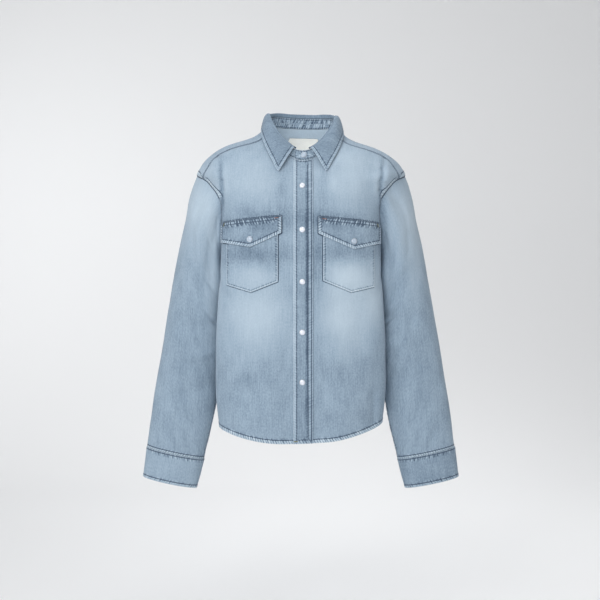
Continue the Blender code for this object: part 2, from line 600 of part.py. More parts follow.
def fall_lines(roll_turn):
    """Points down each line of the fall, from the stand's top over the roll to the outer edge."""
    sided = np.where(roll_turn > 180, 360 - roll_turn, roll_turn)
    sign = np.where(roll_turn > 180, -1.0, 1.0)
    at = {name: smooth(FALL["roll_turn"], FALL[name], sided) for name in FALL}
    height = np.full(len(roll_turn), STAND_HEIGHT + SEAM_GAP)
    foot = stand_surface(roll_turn, height)
    up = foot - stand_surface(roll_turn, height - 0.005)
    up /= np.linalg.norm(up, axis=-1, keepdims=True)
    edge_turn = sign * at["edge_turn"] + FALL_ASIDE * np.cos(np.radians(at["edge_turn"]))
    away = torso_normal(edge_turn, at["edge_level"])
    edge = torso(edge_turn, at["edge_level"]) + away * at["lift"][:, None]
    out = edge - foot
    out -= (out * up).sum(axis=-1, keepdims=True) * up
    out /= np.linalg.norm(out, axis=-1, keepdims=True)
    rise = up * at["rise"][:, None]
    centre = foot + rise + out * (ROLL_RADIUS - BAND)
    lines = [foot, foot + rise / 2]
    for angle in np.radians([60, 90, 120]):
        lines.append(centre - out * ROLL_RADIUS * math.cos(angle) + up * ROLL_RADIUS * math.sin(angle))
    start = lines[-1]
    for share in (0.2, 0.4, 0.6, 0.8, 1.0):
        lines.append(start + (edge - start) * share + away * FALL_BOW * math.sin(math.pi * share ** 0.7))
    return np.array(lines)


def collar_fall():
    """The folded leaf: up from the stand, over the roll and down to its points."""
    half = np.array([10.5, 11.5, 14, 19, 25, 33, 42, 52, 62, 72, 82, 92, 103, 114, 126, 139, 153, 167])
    turns = np.concatenate([half, [180.0], 360 - half[::-1]])
    points = fall_lines(turns)
    around = np.gradient(points, axis=1)
    down = np.gradient(points, axis=0)
    normals = np.cross(down, around)
    normals /= np.linalg.norm(normals, axis=-1, keepdims=True)
    faces = [tuple(reversed(face)) for face in grid_faces(*points.shape[:2])]
    return wall("collar_fall", points, normals, faces, BAND, DENIM)


# ------------------------------------------------------------------ what lies on the fronts
def on_front(x, z, lift):
    """Points over the front, moved out from it by lift, with their normals."""
    turn, level = place_on_front(x, z)
    normal = torso_normal(turn, level)
    return torso(turn, level) + normal * np.asarray(lift)[..., None], normal


def placket():
    """The front band, from the neck to the hem, over both fronts' edges."""
    levels = np.minimum(np.concatenate([BELOW_ARMHOLE, ARMHOLE["level"], ABOVE_ARMHOLE]), PLACKET_TOP_LEVEL)
    edges = np.array([PLACKET_FREE_EDGE, -0.004, 0.010, PLACKET_SEWN_EDGE])
    turns = np.stack([turn_at_x(x, levels) for x in edges], axis=1)
    heights = np.repeat(levels[:, None], len(edges), axis=1)
    normals = torso_normal(turns, heights)
    points = torso(turns, heights) + normals * (PLACKET_GAP + BAND)
    return wall("placket", points, normals, grid_faces(*turns.shape), BAND, DENIM)


def pointed(shape, columns, rows):
    """x and z of a grid over a shape with a level top and a pointed foot. Columns share the point."""
    inner, outer = shape["inner_x"], shape["outer_x"]
    tip = (shape["tip_x"] - inner) / (outer - inner)
    near = columns // 2
    share = np.concatenate([np.linspace(0, tip, near + 1), np.linspace(tip, 1, columns - near + 1)[1:]])
    foot = np.interp(share, [0, tip, 1], [shape["inner_z"], shape["tip_z"], shape["outer_z"]])
    top = np.interp(share, [0, 1], [shape["top_inner_z"], shape["top_outer_z"]])
    x = inner + (outer - inner) * share
    down = np.asarray(rows)[:, None]
    return np.repeat(x[None, :], len(rows), axis=0), top * (1 - down) + foot * down


def outward_faces(shape, rows, columns):
    faces = grid_faces(rows, columns)
    towards_left = shape["outer_x"] > shape["inner_x"]
    return [tuple(reversed(face)) for face in faces] if towards_left else faces


def pocket(side):
    """A patch pocket with a pointed foot."""
    x, z = pointed(POCKETS[side], 12, np.linspace(0, 1, 8))
    points, normals = on_front(x, z, np.full(x.shape, PATCH_GAP + CLOTH))
    faces = outward_faces(POCKETS[side], *x.shape)
    return wall(f"pocket_{side}", points, normals, faces, CLOTH, DENIM, seam=0)


def flap(side):
    """The flap over a pocket: sewn down along its top and standing clear of the pocket below."""
    rows = np.array([0, 0.08, 0.16, 0.3, 0.5, 0.75, 1.0])
    x, z = pointed(FLAPS[side], 12, rows)
    clear = np.clip((rows - 0.06) / 0.12, 0, 1)
    lift = PATCH_GAP + FLAP_THICKNESS + (CLOTH + PATCH_GAP) * clear + FLAP_FLARE * rows
    points, normals = on_front(x, z, np.repeat(lift[:, None], x.shape[1], axis=1))
    faces = outward_faces(FLAPS[side], *x.shape)
    return wall(f"flap_{side}", points, normals, faces, FLAP_THICKNESS, DENIM, seam=0)


def neck_label():
    """The bare label inside the back of the neck, on the yoke."""
    levels = np.linspace(LABEL["bottom_level"], LABEL["top_level"], 5)
    turns = 180 - np.degrees(np.arctan2(np.linspace(LABEL["right"], LABEL["left"], 7), 0.080))
    grid = np.repeat(turns[None, :], len(levels), axis=0)
    heights = np.repeat(levels[:, None], len(turns), axis=1)
    normals = torso_normal(grid, heights)
    points = torso(grid, heights) - normals * (CLOTH + LABEL["gap"])
    return wall("neck_label", points, normals, grid_faces(*grid.shape), LABEL["thickness"], LABEL_CLOTH, seam=0)


# ------------------------------------------------------------------ snaps
SNAP_PROFILE = ((1.0, 0.0), (1.0, 0.35), (0.86, 0.62), (0.55, 0.90), (0.0, 1.0))


def snap(name, place, normal):
    """A domed press-stud cap, turned from its profile."""
    form = bmesh.new()
    rim = [form.verts.new((SNAP_RADIUS * r, 0, SNAP_HEIGHT * h)) for r, h in SNAP_PROFILE]
    edges = [form.edges.new(pair) for pair in zip(rim, rim[1:])]
    bmesh.ops.spin(form, geom=rim + edges, cent=(0, 0, 0), axis=(0, 0, 1), angle=2 * math.pi, steps=16)
    bmesh.ops.remove_doubles(form, verts=form.verts, dist=0.00005)
    bottom = [edge for edge in form.edges if edge.is_boundary]
    bmesh.ops.contextual_create(form, geom=bottom)
    bmesh.ops.recalc_face_normals(form, faces=form.faces)
    mesh = bpy.data.meshes.new(name)
    form.to_mesh(mesh)
    form.free()
    mesh.shade_smooth()
    mesh.set_sharp_from_angle(angle=math.radians(50))
    mesh.materials.append(material(name, **PEARL))
    made = bpy.data.objects.new(name, mesh)
    normal = Vector(normal)
    made.matrix_world = Matrix.Translation(Vector(place)) @ normal.to_track_quat("Z", "Y").to_matrix().to_4x4()
    shirt.objects.link(made)
    return made


def cuff_face(around, along):
    return sleeve_section(CUFF, around, along)


def snaps():
    for k, height in enumerate(FRONT_SNAP_HEIGHTS):
        place, normal = on_front(CLOSURE_X, height, PLACKET_GAP + BAND + SEAM_GAP)
        snap(f"snap_front_{k + 1}", place, normal)
    turn = np.degrees(np.arctan2([CLOSURE_X], -torso(0.0, NECK_LEVEL)[1]))
    height = np.array([COLLAR_SNAP_HEIGHT])
    normal = normal_of(stand_surface, turn, height, 0.3, 0.0005)[0]
    snap("snap_collar", stand_surface(turn, height)[0] + normal * SEAM_GAP, normal)
    for side, shape in FLAPS.items():
        clear = PATCH_GAP * 2 + FLAP_THICKNESS + CLOTH + FLAP_FLARE + SEAM_GAP
        place, normal = on_front(shape["tip_x"], shape["tip_z"] + FLAP_SNAP_ABOVE_TIP, clear)
        snap(f"snap_pocket_{side}", place, normal)
    around, along = np.array([CUFF_SNAP_AROUND]), np.array([0.5])
    place = cuff_face(around, along)[0]
    normal = -normal_of(cuff_face, around, along, 0.01, 0.05)[0]
    snap("snap_cuff_left", place + normal * SEAM_GAP, normal)
    snap("snap_cuff_right", mirror(place + normal * SEAM_GAP), mirror(normal))


front("right")
front("left")
placket()
back()
yoke()
for side in ("right", "left"):
    sleeve(side)
    cuff(side)
    pocket(side)
    flap(side)
collar_stand()
collar_fall()
neck_label()
snaps()
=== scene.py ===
# %% [markdown]
# # A washed denim shirt
#
# The shirt hangs filled out, as if worn, with nobody in it. Its solids were made before and are loaded here as a
# fixed frame. Each cut piece is then made again as finer cloth on the same form, with its creases, its puckered
# seams and every stitch. The looks could be painted on the solids, but cloth is read by its edges and seams, so
# they are real shapes here.

import json
import math

import bpy
import numpy as np
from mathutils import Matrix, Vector
from mathutils.bvhtree import BVHTree
from mathutils.kdtree import KDTree

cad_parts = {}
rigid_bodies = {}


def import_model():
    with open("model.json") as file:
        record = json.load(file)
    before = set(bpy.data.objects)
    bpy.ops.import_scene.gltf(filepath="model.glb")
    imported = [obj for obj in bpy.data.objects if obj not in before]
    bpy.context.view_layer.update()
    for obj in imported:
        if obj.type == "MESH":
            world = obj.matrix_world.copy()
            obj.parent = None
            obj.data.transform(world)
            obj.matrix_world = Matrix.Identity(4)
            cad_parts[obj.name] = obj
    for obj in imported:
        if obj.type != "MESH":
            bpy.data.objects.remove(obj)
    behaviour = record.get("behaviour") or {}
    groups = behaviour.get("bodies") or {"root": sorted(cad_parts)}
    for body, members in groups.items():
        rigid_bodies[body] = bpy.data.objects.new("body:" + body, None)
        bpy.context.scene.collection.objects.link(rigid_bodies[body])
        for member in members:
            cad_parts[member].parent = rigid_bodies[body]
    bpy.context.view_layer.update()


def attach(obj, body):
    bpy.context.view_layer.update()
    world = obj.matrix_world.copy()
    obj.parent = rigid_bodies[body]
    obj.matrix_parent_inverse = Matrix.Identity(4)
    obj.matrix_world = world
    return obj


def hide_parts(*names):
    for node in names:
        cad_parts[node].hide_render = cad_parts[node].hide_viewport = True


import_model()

# %% [markdown]
# ## Camera, light and floor
#
# The camera stands level with the middle of the shirt, two metres in front of it. A large soft light on the
# viewer's left and weaker ones in front, on the right and above leave only gentle shadows, as in a catalogue. Two
# more reach the wall and the floor alone, and a small lamp inside the body, out of the camera's sight, keeps the
# inside of the neck from going dark. The floor runs up into the wall in one curve, so that no edge shows behind
# the shirt.

# %% Camera
CAMERA_DISTANCE = 2.0
VIEW_WIDTH = 1.32          # metres across the picture, in the shirt's middle plane
VIEW_HEIGHT_Z = -0.3564
PICTURE = 600
MIDDLE_COLUMN = 300.8      # where the middle of the shirt stands in the picture

camera = bpy.data.objects.new("camera", bpy.data.cameras.new("camera"))
bpy.context.scene.collection.objects.link(camera)
camera.data.sensor_width = 36.0
camera.data.lens = 36.0 * CAMERA_DISTANCE / VIEW_WIDTH
camera.data.shift_x = -(MIDDLE_COLUMN - PICTURE / 2) / PICTURE
camera.location = (0.0, -CAMERA_DISTANCE, VIEW_HEIGHT_Z)
camera.rotation_euler = (math.radians(90), 0.0, 0.0)
bpy.context.scene.camera = camera
print("the lens is", round(camera.data.lens, 1), "mm")

# %% Lights
SHIRT_MIDDLE = (0, 0, -0.35)
LAMPS = {                  # place, what it points at, width in metres and power in watts
    "key": ((-1.7, -2.3, 1.3), SHIRT_MIDDLE, 1.8, 36),
    "front": ((-0.5, -2.5, 0.05), SHIRT_MIDDLE, 1.2, 22),
    "fill": ((2.0, -2.4, 0.4), SHIRT_MIDDLE, 2.2, 6),
    "top": ((-0.3, -0.4, 1.9), (0, 0, 0), 1.8, 10),
    "inside": ((0, -0.03, -0.20), (0, 0.07, 0), 0.12, 0.195),
    "behind": ((-2.6, 0.2, 0.4), (-0.6, 2.5, -0.1), 1.2, 6.6),
    "below": ((0.4, 0.7, 1.9), (0.5, 0.95, -1.0), 1.4, 5.0)}
BEAMS = {"behind": 90, "below": 64}      # degrees; the others shine all round

for name, (place, aim, size, watts) in LAMPS.items():
    lamp = bpy.data.lights.new(name, "AREA")
    lamp.shape, lamp.size, lamp.energy = "SQUARE", size, watts
    lamp.spread = math.radians(BEAMS.get(name, 180))
    light = bpy.data.objects.new(name, lamp)
    light.location = place
    light.rotation_euler = (Vector(aim) - Vector(place)).to_track_quat("-Z", "Y").to_euler()
    light.visible_camera = False       # a lamp is seen only by its light
    bpy.context.scene.collection.objects.link(light)

bpy.context.scene.view_settings.view_transform = "Standard"     # white paper stays white, and blue stays blue
sky = bpy.data.worlds.new("studio")
sky.use_nodes = True
sky.node_tree.nodes["Background"].inputs["Color"].default_value = (0.99, 0.99, 1.0, 1)
sky.node_tree.nodes["Background"].inputs["Strength"].default_value = 0.42
bpy.context.scene.world = sky
print("lights:", list(LAMPS))

# %% Floor and wall
FLOOR_Z, WALL_Y, SWEEP = -1.06, 2.5, 1.2
WALL_TOP, FLOOR_FRONT, HALF_WIDTH = 4.0, -5.0, 6.0


def shaped(name, points, faces, *finishes):
    """A smoothly shaded object in the scene, from its points and faces."""
    mesh = bpy.data.meshes.new(name)
    mesh.from_pydata(points, [], faces)
    mesh.shade_smooth()
    for finish in finishes:
        mesh.materials.append(finish)
    made = bpy.data.objects.new(name, mesh)
    bpy.context.scene.collection.objects.link(made)
    return made


def sweep_profile():
    """y and z down the wall, round the curve and along the floor."""
    turns = np.radians(np.linspace(0, 90, 25))
    curve = [(WALL_Y - SWEEP * (1 - math.cos(a)), FLOOR_Z + SWEEP * (1 - math.sin(a))) for a in turns]
    return [(WALL_Y, WALL_TOP)] + curve + [(FLOOR_FRONT, FLOOR_Z)]


profile = sweep_profile()
floor = shaped("floor", [(x, y, z) for y, z in profile for x in (-HALF_WIDTH, HALF_WIDTH)],
               [(2 * k, 2 * k + 1, 2 * k + 3, 2 * k + 2) for k in range(len(profile) - 1)])
print("the wall and floor have", len(floor.data.polygons), "faces")

# %% [markdown]
# ## Writing a material as a sum
#
# A material is a graph of nodes, but its colour is easier to read as arithmetic. A `Link` stands for a node's
# output, and adding or multiplying two of them adds the Math node for it. A `Finish` holds one material and makes
# any other node in one call.


# %% Links and finishes
class Link:
    """A node's output, ready for sums such as 1 - mask."""

    def __init__(self, finish, socket):
        self.finish, self.socket = finish, socket

    def sum(self, operation, a, b):
        return self.finish.node("ShaderNodeMath", {"operation": operation}, {0: a, 1: b})

    def __add__(self, other):
        return self.sum("ADD", self, other)

    def __sub__(self, other):
        return self.sum("SUBTRACT", self, other)

    def __rsub__(self, other):
        return self.sum("SUBTRACT", other, self)

    def __mul__(self, other):
        return self.sum("MULTIPLY", self, other)

    def __truediv__(self, other):
        return self.sum("DIVIDE", self, other)

    def larger(self, other):
        return self.sum("MAXIMUM", self, other)

    __radd__, __rmul__ = __add__, __mul__


class Finish:
    """One material, with its Principled shader and a single way to add nodes."""

    def __init__(self, name):
        self.material = bpy.data.materials.new(name)
        self.material.use_nodes = True
        self.nodes, self.links = self.material.node_tree.nodes, self.material.node_tree.links
        self.shader = self.nodes["Principled BSDF"]

    def node(self, kind, settings=None, sockets=None, output=0):
        made = self.nodes.new(kind)
        for name, value in (settings or {}).items():
            if name == "stops":
                ramp = made.color_ramp.elements
                for place, colour in value:
                    ramp.new(place).color = (*colour, 1.0)
                ramp.remove(ramp[0])           # the two stops that every ramp starts with
                ramp.remove(ramp[-1])
            else:
                setattr(made, name, value)
        self.plug(made, sockets or {})
        return Link(self, made.outputs[output])

    def plug(self, node, sockets):
        for name, value in sockets.items():
            if isinstance(value, Link):
                self.links.new(value.socket, node.inputs[name])
            else:
                node.inputs[name].default_value = value

    def attribute(self, name, output="Fac"):
        return self.node("ShaderNodeAttribute", {"attribute_name": name}, output=output)

    def split(self, name):
        """The three numbers of a vector that the cloth carries."""
        vector = self.attribute(name, "Vector")
        parts = self.node("ShaderNodeSeparateXYZ", None, {0: vector})
        return [Link(self, parts.socket.node.outputs[k]) for k in range(3)]

    def vector(self, x, y, z=0.0):
        return self.node("ShaderNodeCombineXYZ", None, {0: x, 1: y, 2: z})

    def noise(self, place, detail=2.0, roughness=0.5):
        """Soft random values round zero, one bump to each unit of the place."""
        return self.node("ShaderNodeTexNoise", {"noise_dimensions": "3D"},
                         {"Vector": place, "Scale": 1.0, "Detail": detail, "Roughness": roughness}) - 0.5

    def step(self, value, low, high):
        """A soft step: 0 below low and 1 above high, or the other way round."""
        return self.node("ShaderNodeMapRange", {"interpolation_type": "SMOOTHSTEP"},
                         {"Value": value, "From Min": low, "From Max": high})

    def blend(self, factor, a, b):
        return self.node("ShaderNodeMix", {"data_type": "RGBA"}, {0: factor, 6: a, 7: b}, output=2)


def linear(red, green, blue):
    """A screen colour, 0 to 255, as the light it stands for."""
    return tuple(c / 12.92 if c <= 0.04045 else ((c + 0.055) / 1.055) ** 2.4
                 for c in (red / 255, green / 255, blue / 255))


print("a middle grey is", round(linear(128, 128, 128)[0], 3), "in light")

# %% [markdown]
# ## The washed denim
#
# Denim is woven from blue and white threads on the slant. Washing wears the blue off wherever the cloth stands up,
# which leaves pale faded patches, pale edges, and light and dark ticks beside each seam where the cloth puckers. So
# one tone runs through this finish, from the dark of a seam to the pale of a fade, and each cause adds to it or takes
# from it.
# The dark line under a row of stitches is painted shade in its trough, partly blue kept there, and some of the tone
# is
# painted shade and painted light: in creases, under the flaps, beside the band and where the arms meet the body. The
# cloth itself carries what the finish needs: its own flat coordinates, how far along and away from a seam a point
# lies, and how faded it is, with that painted shading.

# %% Denim
TONES = ((0.0, (70, 86, 105)), (0.18, (111, 130, 148)), (0.36, (146, 165, 182)), (0.72, (185, 201, 213)),
         (0.999, (222, 230, 235)))
INSIDE_TONE = 0.62         # the inner face shows more of the white thread
# the line under a row of stitches is painted shade in its trough, partly blue kept there
STITCH_LINE = 1.3          # half width of the dark line under a row of stitches, mm
TWILL = 0.0009             # from one slanted rib of the weave to the next
TICK = 0.0054              # from one pucker along a seam to the next
PALER = 0.18               # how much paler a seam's margin is, and the fold at its edge
BUMP_DEPTH = 0.0006


def denim(name, base_tone):
    finish = Finish(name)
    u, v, _ = finish.split("cloth")
    run, away, rope = finish.split("seam")
    row_a, row_b, inside = finish.split("rows")
    worn, dark, reach = finish.split("wear")
    # fade carries the washing's faded patches and, with them, painted shade and painted light
    fade = finish.attribute("fade")

    def mottle(wide, long, seed, **settings):
        """Soft patches of a size across and along the threads."""
        return finish.noise(finish.vector(u / wide, v / long, seed), **settings)

    def sine(angle):
        return finish.node("ShaderNodeMath", {"operation": "SINE"}, {0: angle})

    threads = mottle(0.0007, 0.011, 0.0)
    slub = mottle(0.0024, 0.045, 7.0)
    speckle = mottle(0.0028, 0.0044, 3.0, detail=3.0, roughness=0.6)
    blotch = mottle(0.030, 0.045, 5.0)
    wash = (threads * 0.11 + slub * 0.20 + speckle * 0.34 + blotch * 0.18) * (1 - fade * 1.4)

    last = row_a.larger(row_b)
    margin = worn * finish.step(away - last, 0.0008, -0.0006)
    wander = finish.noise(finish.vector(run / 0.009, 0.0, 13.0))
    even = sine((run + away * 0.5) * (2 * math.pi / TICK) + wander * 6)
    uneven = finish.noise(finish.vector((run + away * 0.25) / 0.0034, away / 0.022, 11.0))
    ticks = even * (0.05 + margin * margin * 0.14) + uneven * 0.95
    beside = rope * finish.step(away - last - reach, 0.0, -0.0065)
    edge = worn * finish.step(away, 0.0022, 0.0)
    # the dark line under each row: painted shade in the stitch trough, partly blue kept there
    lines = []
    for row in (row_a, row_b):
        off = (away - row) * 1000
        lines.append(finish.step(off * off, STITCH_LINE ** 2, 0.0) * finish.step(row, 0.0002, 0.0006))
    line = lines[0].larger(lines[1])

    outer = (base_tone + fade + wash + beside * (ticks * 1.3 - 0.03) + margin * PALER + edge * PALER
             - line * (dark - ticks * 0.5))
    weft = INSIDE_TONE + wash * 0.6 + beside * ticks * 0.8
    tone = outer * (1 - inside) + weft * inside
    colour = finish.node("ShaderNodeValToRGB", {"stops": [(at, linear(*c)) for at, c in TONES]}, {0: tone})

    ribs = sine((u + v) * (2 * math.pi / TWILL))
    height = ribs * 0.10 + threads * 0.7 + slub * 0.5 + beside * ticks * 1.6 - line * rope * 0.5
    bump = finish.node("ShaderNodeBump", None, {"Height": height, "Distance": BUMP_DEPTH, "Strength": 0.55})
    finish.plug(finish.shader, {"Base Color": colour, "Normal": bump, "Roughness": 0.88, "Sheen Weight": 0.12,
                                "Sheen Roughness": 0.5, "Specular IOR Level": 0.25})
    return finish.material


body_denim = denim("washed_denim", 0.35)
collar_denim = denim("collar_denim", 0.24)
print("denim nodes:", len(body_denim.node_tree.nodes))

# %% [markdown]
# ## Thread, label, snaps and floor
#
# The thread is a dull grey blue, a little darker than the cloth, and the bar tacks are of two others, rust and
# olive. The label is bare cream tape, the snap caps are pearl in a thin metal ring, and the floor is plain paper.


# %% The smaller finishes
def plain(name, colour, roughness, metallic=0.0, coat=0.0, grain=0.0, scale=0.001):
    """A finish of one colour, with a little unevenness of its own."""
    finish = Finish(name)
    place = finish.node("ShaderNodeTexCoord", output="Object")
    spot = finish.noise(finish.node("ShaderNodeVectorMath", {"operation": "SCALE"}, {0: place, 3: 1 / scale}))
    light = tuple(min(1.0, c * (1 + grain)) for c in linear(*colour))
    dark = tuple(c * (1 - grain) for c in linear(*colour))
    mixed = finish.blend(finish.step(spot, -0.25, 0.25), (*dark, 1), (*light, 1))
    finish.plug(finish.shader, {"Base Color": mixed, "Roughness": roughness, "Metallic": metallic,
                                "Coat Weight": coat, "Coat Roughness": 0.1})
    return finish.material


thread = plain("tonal_thread", (78, 92, 110), 0.75, grain=0.3, scale=0.002)
rust_thread = plain("rust_thread", (150, 96, 74), 0.7, grain=0.2, scale=0.002)
olive_thread = plain("olive_thread", (128, 128, 84), 0.7, grain=0.2, scale=0.002)
tape = plain("label_tape", (244, 243, 236), 0.8, grain=0.03, scale=0.0015)
pearl = plain("pearl", (222, 227, 237), 0.18, coat=0.8, grain=0.05, scale=0.003)
dull_pearl = plain("dull_pearl", (172, 187, 203), 0.25, coat=0.5, grain=0.08, scale=0.003)
ring_metal = plain("snap_ring", (190, 196, 204), 0.3, metallic=1.0, grain=0.03, scale=0.002)
paper = plain("pale_floor", (238, 239, 240), 0.9, grain=0.0, scale=1.0)
floor.data.materials.append(paper)
print("finishes:", thread.name, tape.name, pearl.name, dull_pearl.name, ring_metal.name)

# %% [markdown]
# ## The form
#
# The body is a stack of rounded sections, each given by a row of a table. A point of the cloth is named by its
# turn, in degrees from the middle of the front to the wearer's left, and its level. The same tables shaped the
# solids, so the finer cloth lands on them with no fitting.


# %% Tables and smooth curves
def table(columns, *rows):
    """A table with named columns, each an array."""
    return {name: np.array([row[k] for row in rows], float) for k, name in enumerate(columns.split())}


def smooth(knots, values, at):
    """Values between a table's rows, on a cubic curve whose slopes come from the neighbouring rows."""
    at = np.clip(np.asarray(at, float), knots[0], knots[-1])
    row = np.clip(np.searchsorted(knots, at, side="right") - 1, 0, len(knots) - 2)
    slopes = np.gradient(values, knots)
    width = knots[row + 1] - knots[row]
    f = (at - knots[row]) / width
    return (values[row] * (1 + 2 * f) * (1 - f) ** 2 + values[row + 1] * f * f * (3 - 2 * f)
            + slopes[row] * width * f * (1 - f) ** 2 - slopes[row + 1] * width * f * f * (1 - f))


def bell(distance, spread):
    return np.exp(-(distance / spread) ** 2)


def eased(value, low, high):
    """A soft rise from 0 at low to 1 at high."""
    share = np.clip((value - low) / (high - low), 0, 1)
    return share * share * (3 - 2 * share)


def unit(vectors):
    return vectors / np.maximum(np.linalg.norm(vectors, axis=-1, keepdims=True), 1e-12)


def square_to(vectors, way):
    """Unit vectors with their part along a way taken off."""
    return unit(vectors - (vectors * way).sum(axis=-1, keepdims=True) * way)


def run_along(points, axis=0):
    """How far along its line each point lies, for one line or each line of a grid."""
    steps = np.linalg.norm(np.diff(points, axis=axis), axis=-1)
    return np.insert(np.cumsum(steps, axis=axis), 0, 0.0, axis=axis)


def lattice(i, j, seed):
    """A fixed random number from 0 to 1 for each corner of a square lattice."""
    mixed = np.sin(i * 127.1 + j * 311.7 + seed * 74.7) * 43758.5453
    return mixed - np.floor(mixed)


def soft_noise(a, b, seed, around=0):
    """Smooth random values from -1 to 1 over a plane, one bump to a unit, which may close round on themselves."""
    i, j = np.floor(a), np.floor(b)
    u, v = a - i, b - j
    u, v = u * u * (3 - 2 * u), v * v * (3 - 2 * v)
    here, there = (i % around, (i + 1) % around) if around else (i, i + 1)
    near = lattice(here, j, seed) * (1 - u) + lattice(there, j, seed) * u
    far = lattice(here, j + 1, seed) * (1 - u) + lattice(there, j + 1, seed) * u
    return 2 * (near * (1 - v) + far * v) - 1


print("half way between two rows:", float(smooth(np.array([0.0, 1, 2]), np.array([0.0, 1, 4]), 0.5)))

# %% The body's sections
NECK_LEVEL, SHOULDER_LEVEL, HEM_LEVEL, YOKE_LEVEL = 0.020, -0.0858, -0.612, -0.0945
PINCH_SPREAD = 17.0        # degrees from the side over which the waist is drawn in
TORSO = table(
    "level half_width front back front_drop back_drop corner pinch front_flat back_flat askew aside",
    (-0.612, 0.193, 0.113, 0.104, 0.0426, 0.056, 3, 0.15, 2.2, 1.7, 0.028, 0),
    (-0.56, 0.202, 0.116, 0.106, 0.032, 0.036, 3, 0.173, 1.7, 1.5, 0.015, 0),
    (-0.46, 0.2065, 0.118, 0.104, 0.022, 0.012, 3, 0.224, 1.2, 1, 0, 0),
    (-0.36, 0.2, 0.119, 0.103, 0.02, 0.002, 3, 0.232, 1, 1, 0, 0),
    (-0.262, 0.19, 0.12, 0.108, 0.026, 0, 3, 0.2, 1, 1, 0, 0),
    (-0.182, 0.184, 0.119, 0.113, 0.036, -0.002, 3, 0.1, 1, 1, 0, 0),
    (-0.146, 0.1855, 0.118, 0.1125, 0.0415, -0.004, 2.9, 0.05, 1, 1, 0, 0),
    (-0.122, 0.196, 0.1165, 0.111, 0.0475, -0.004, 2.76, 0.02, 1, 1, 0, 0),
    (-0.102, 0.2115, 0.1142, 0.108, 0.0532, -0.006, 2.61, 0, 1, 1, 0, 0),
    (-0.0858, 0.227, 0.1122, 0.105, 0.058, -0.0095, 2.5, 0, 1, 1.1, 0, 0),
    (-0.07, 0.2215, 0.11, 0.101, 0.062, -0.016, 2.4, 0, 1, 1.2, -0.002, 0),
    (-0.048, 0.2042, 0.105, 0.094, 0.068, -0.023, 2.3, 0, 1, 1.5, -0.008, 0),
    (-0.022, 0.1625, 0.098, 0.084, 0.072, -0.025, 2.3, 0, 1, 2.2, -0.018, 0.001),
    (-0.004, 0.111, 0.09, 0.073, 0.076, -0.019, 2.3, 0, 1, 3.5, -0.024, 0.0025),
    (0.02, 0.079, 0.081, 0.062, 0.0815, -0.011, 2.3, 0, 1, 5, -0.028, 0.0035))
ARMHOLE = table(
    "level front_turn back_turn",
    (-0.262, 90, 90), (-0.254, 83.5, 96.5), (-0.237, 77.5, 102.5), (-0.212, 73, 107), (-0.182, 70, 109),
    (-0.16, 68.5, 110), (-0.142, 67.3, 110), (-0.126, 68, 110), (-0.111, 72.2, 109), (-0.0945, 76.6, 106),
    (-0.09, 80.6, 102), (-0.0858, 84.8, 97))
FORWARD_SEAM = table(
    "level turn",
    (-0.0945, 76.6), (-0.0858, 74.4), (-0.07, 73.6), (-0.056, 73.5), (-0.047, 73.2), (-0.033, 70.6),
    (-0.0105, 64.5), (0.02, 62))
SIDES = {"right": -1.0, "left": 1.0}
print("sections of the body:", len(TORSO["level"]))

# %% [markdown]
# ## Folds and creases
#
# Cloth that hangs is never even. The wide folds are in the solids already, and the finer ones are added here:
# soft troughs where the fronts break towards the arms, drags down the sides, and a slow unevenness all over. Each
# is a bell-shaped ridge or trough between two places, because a simulation would move the seams away from where
# they are on this shirt.

# %% Folds
METRES_PER_TURN = 0.0026   # along the cloth, to a degree round the body
BUMPS_ROUND = 24           # slow bumps once round the body


def fold_table(*rows):
    """Folds, each from a place a to a place b, with its height and half width in metres."""
    return table("across_a along_a across_b along_b height spread", *rows)


TORSO_FOLDS = fold_table(
    (70, -0.05, 65.5, -0.084, 0.003, 0.012), (65.5, -0.084, 66.5, -0.14, 0.0035, 0.012),
    (-70, -0.05, -65, -0.08, 0.003, 0.012), (-65, -0.08, -66.5, -0.135, 0.0035, 0.012),
    (58, -0.59, 62, -0.47, -0.004, 0.022), (-60, -0.6, -64, -0.5, -0.003, 0.02),
    (36, -0.6, 33, -0.45, 0.003, 0.03), (-30, -0.595, -36, -0.43, 0.003, 0.03),
    (118, -0.25, 146, -0.4, 0.005, 0.022), (122, -0.3, 141, -0.47, -0.005, 0.02),
    (238, -0.24, 216, -0.36, 0.005, 0.022), (236, -0.3, 222, -0.45, -0.005, 0.02),
    (163, -0.13, 160, -0.33, 0.004, 0.024), (196, -0.14, 201, -0.3, 0.004, 0.022),
    (150, -0.6, 154, -0.47, 0.005, 0.024), (205, -0.6, 201, -0.5, 0.0045, 0.024))
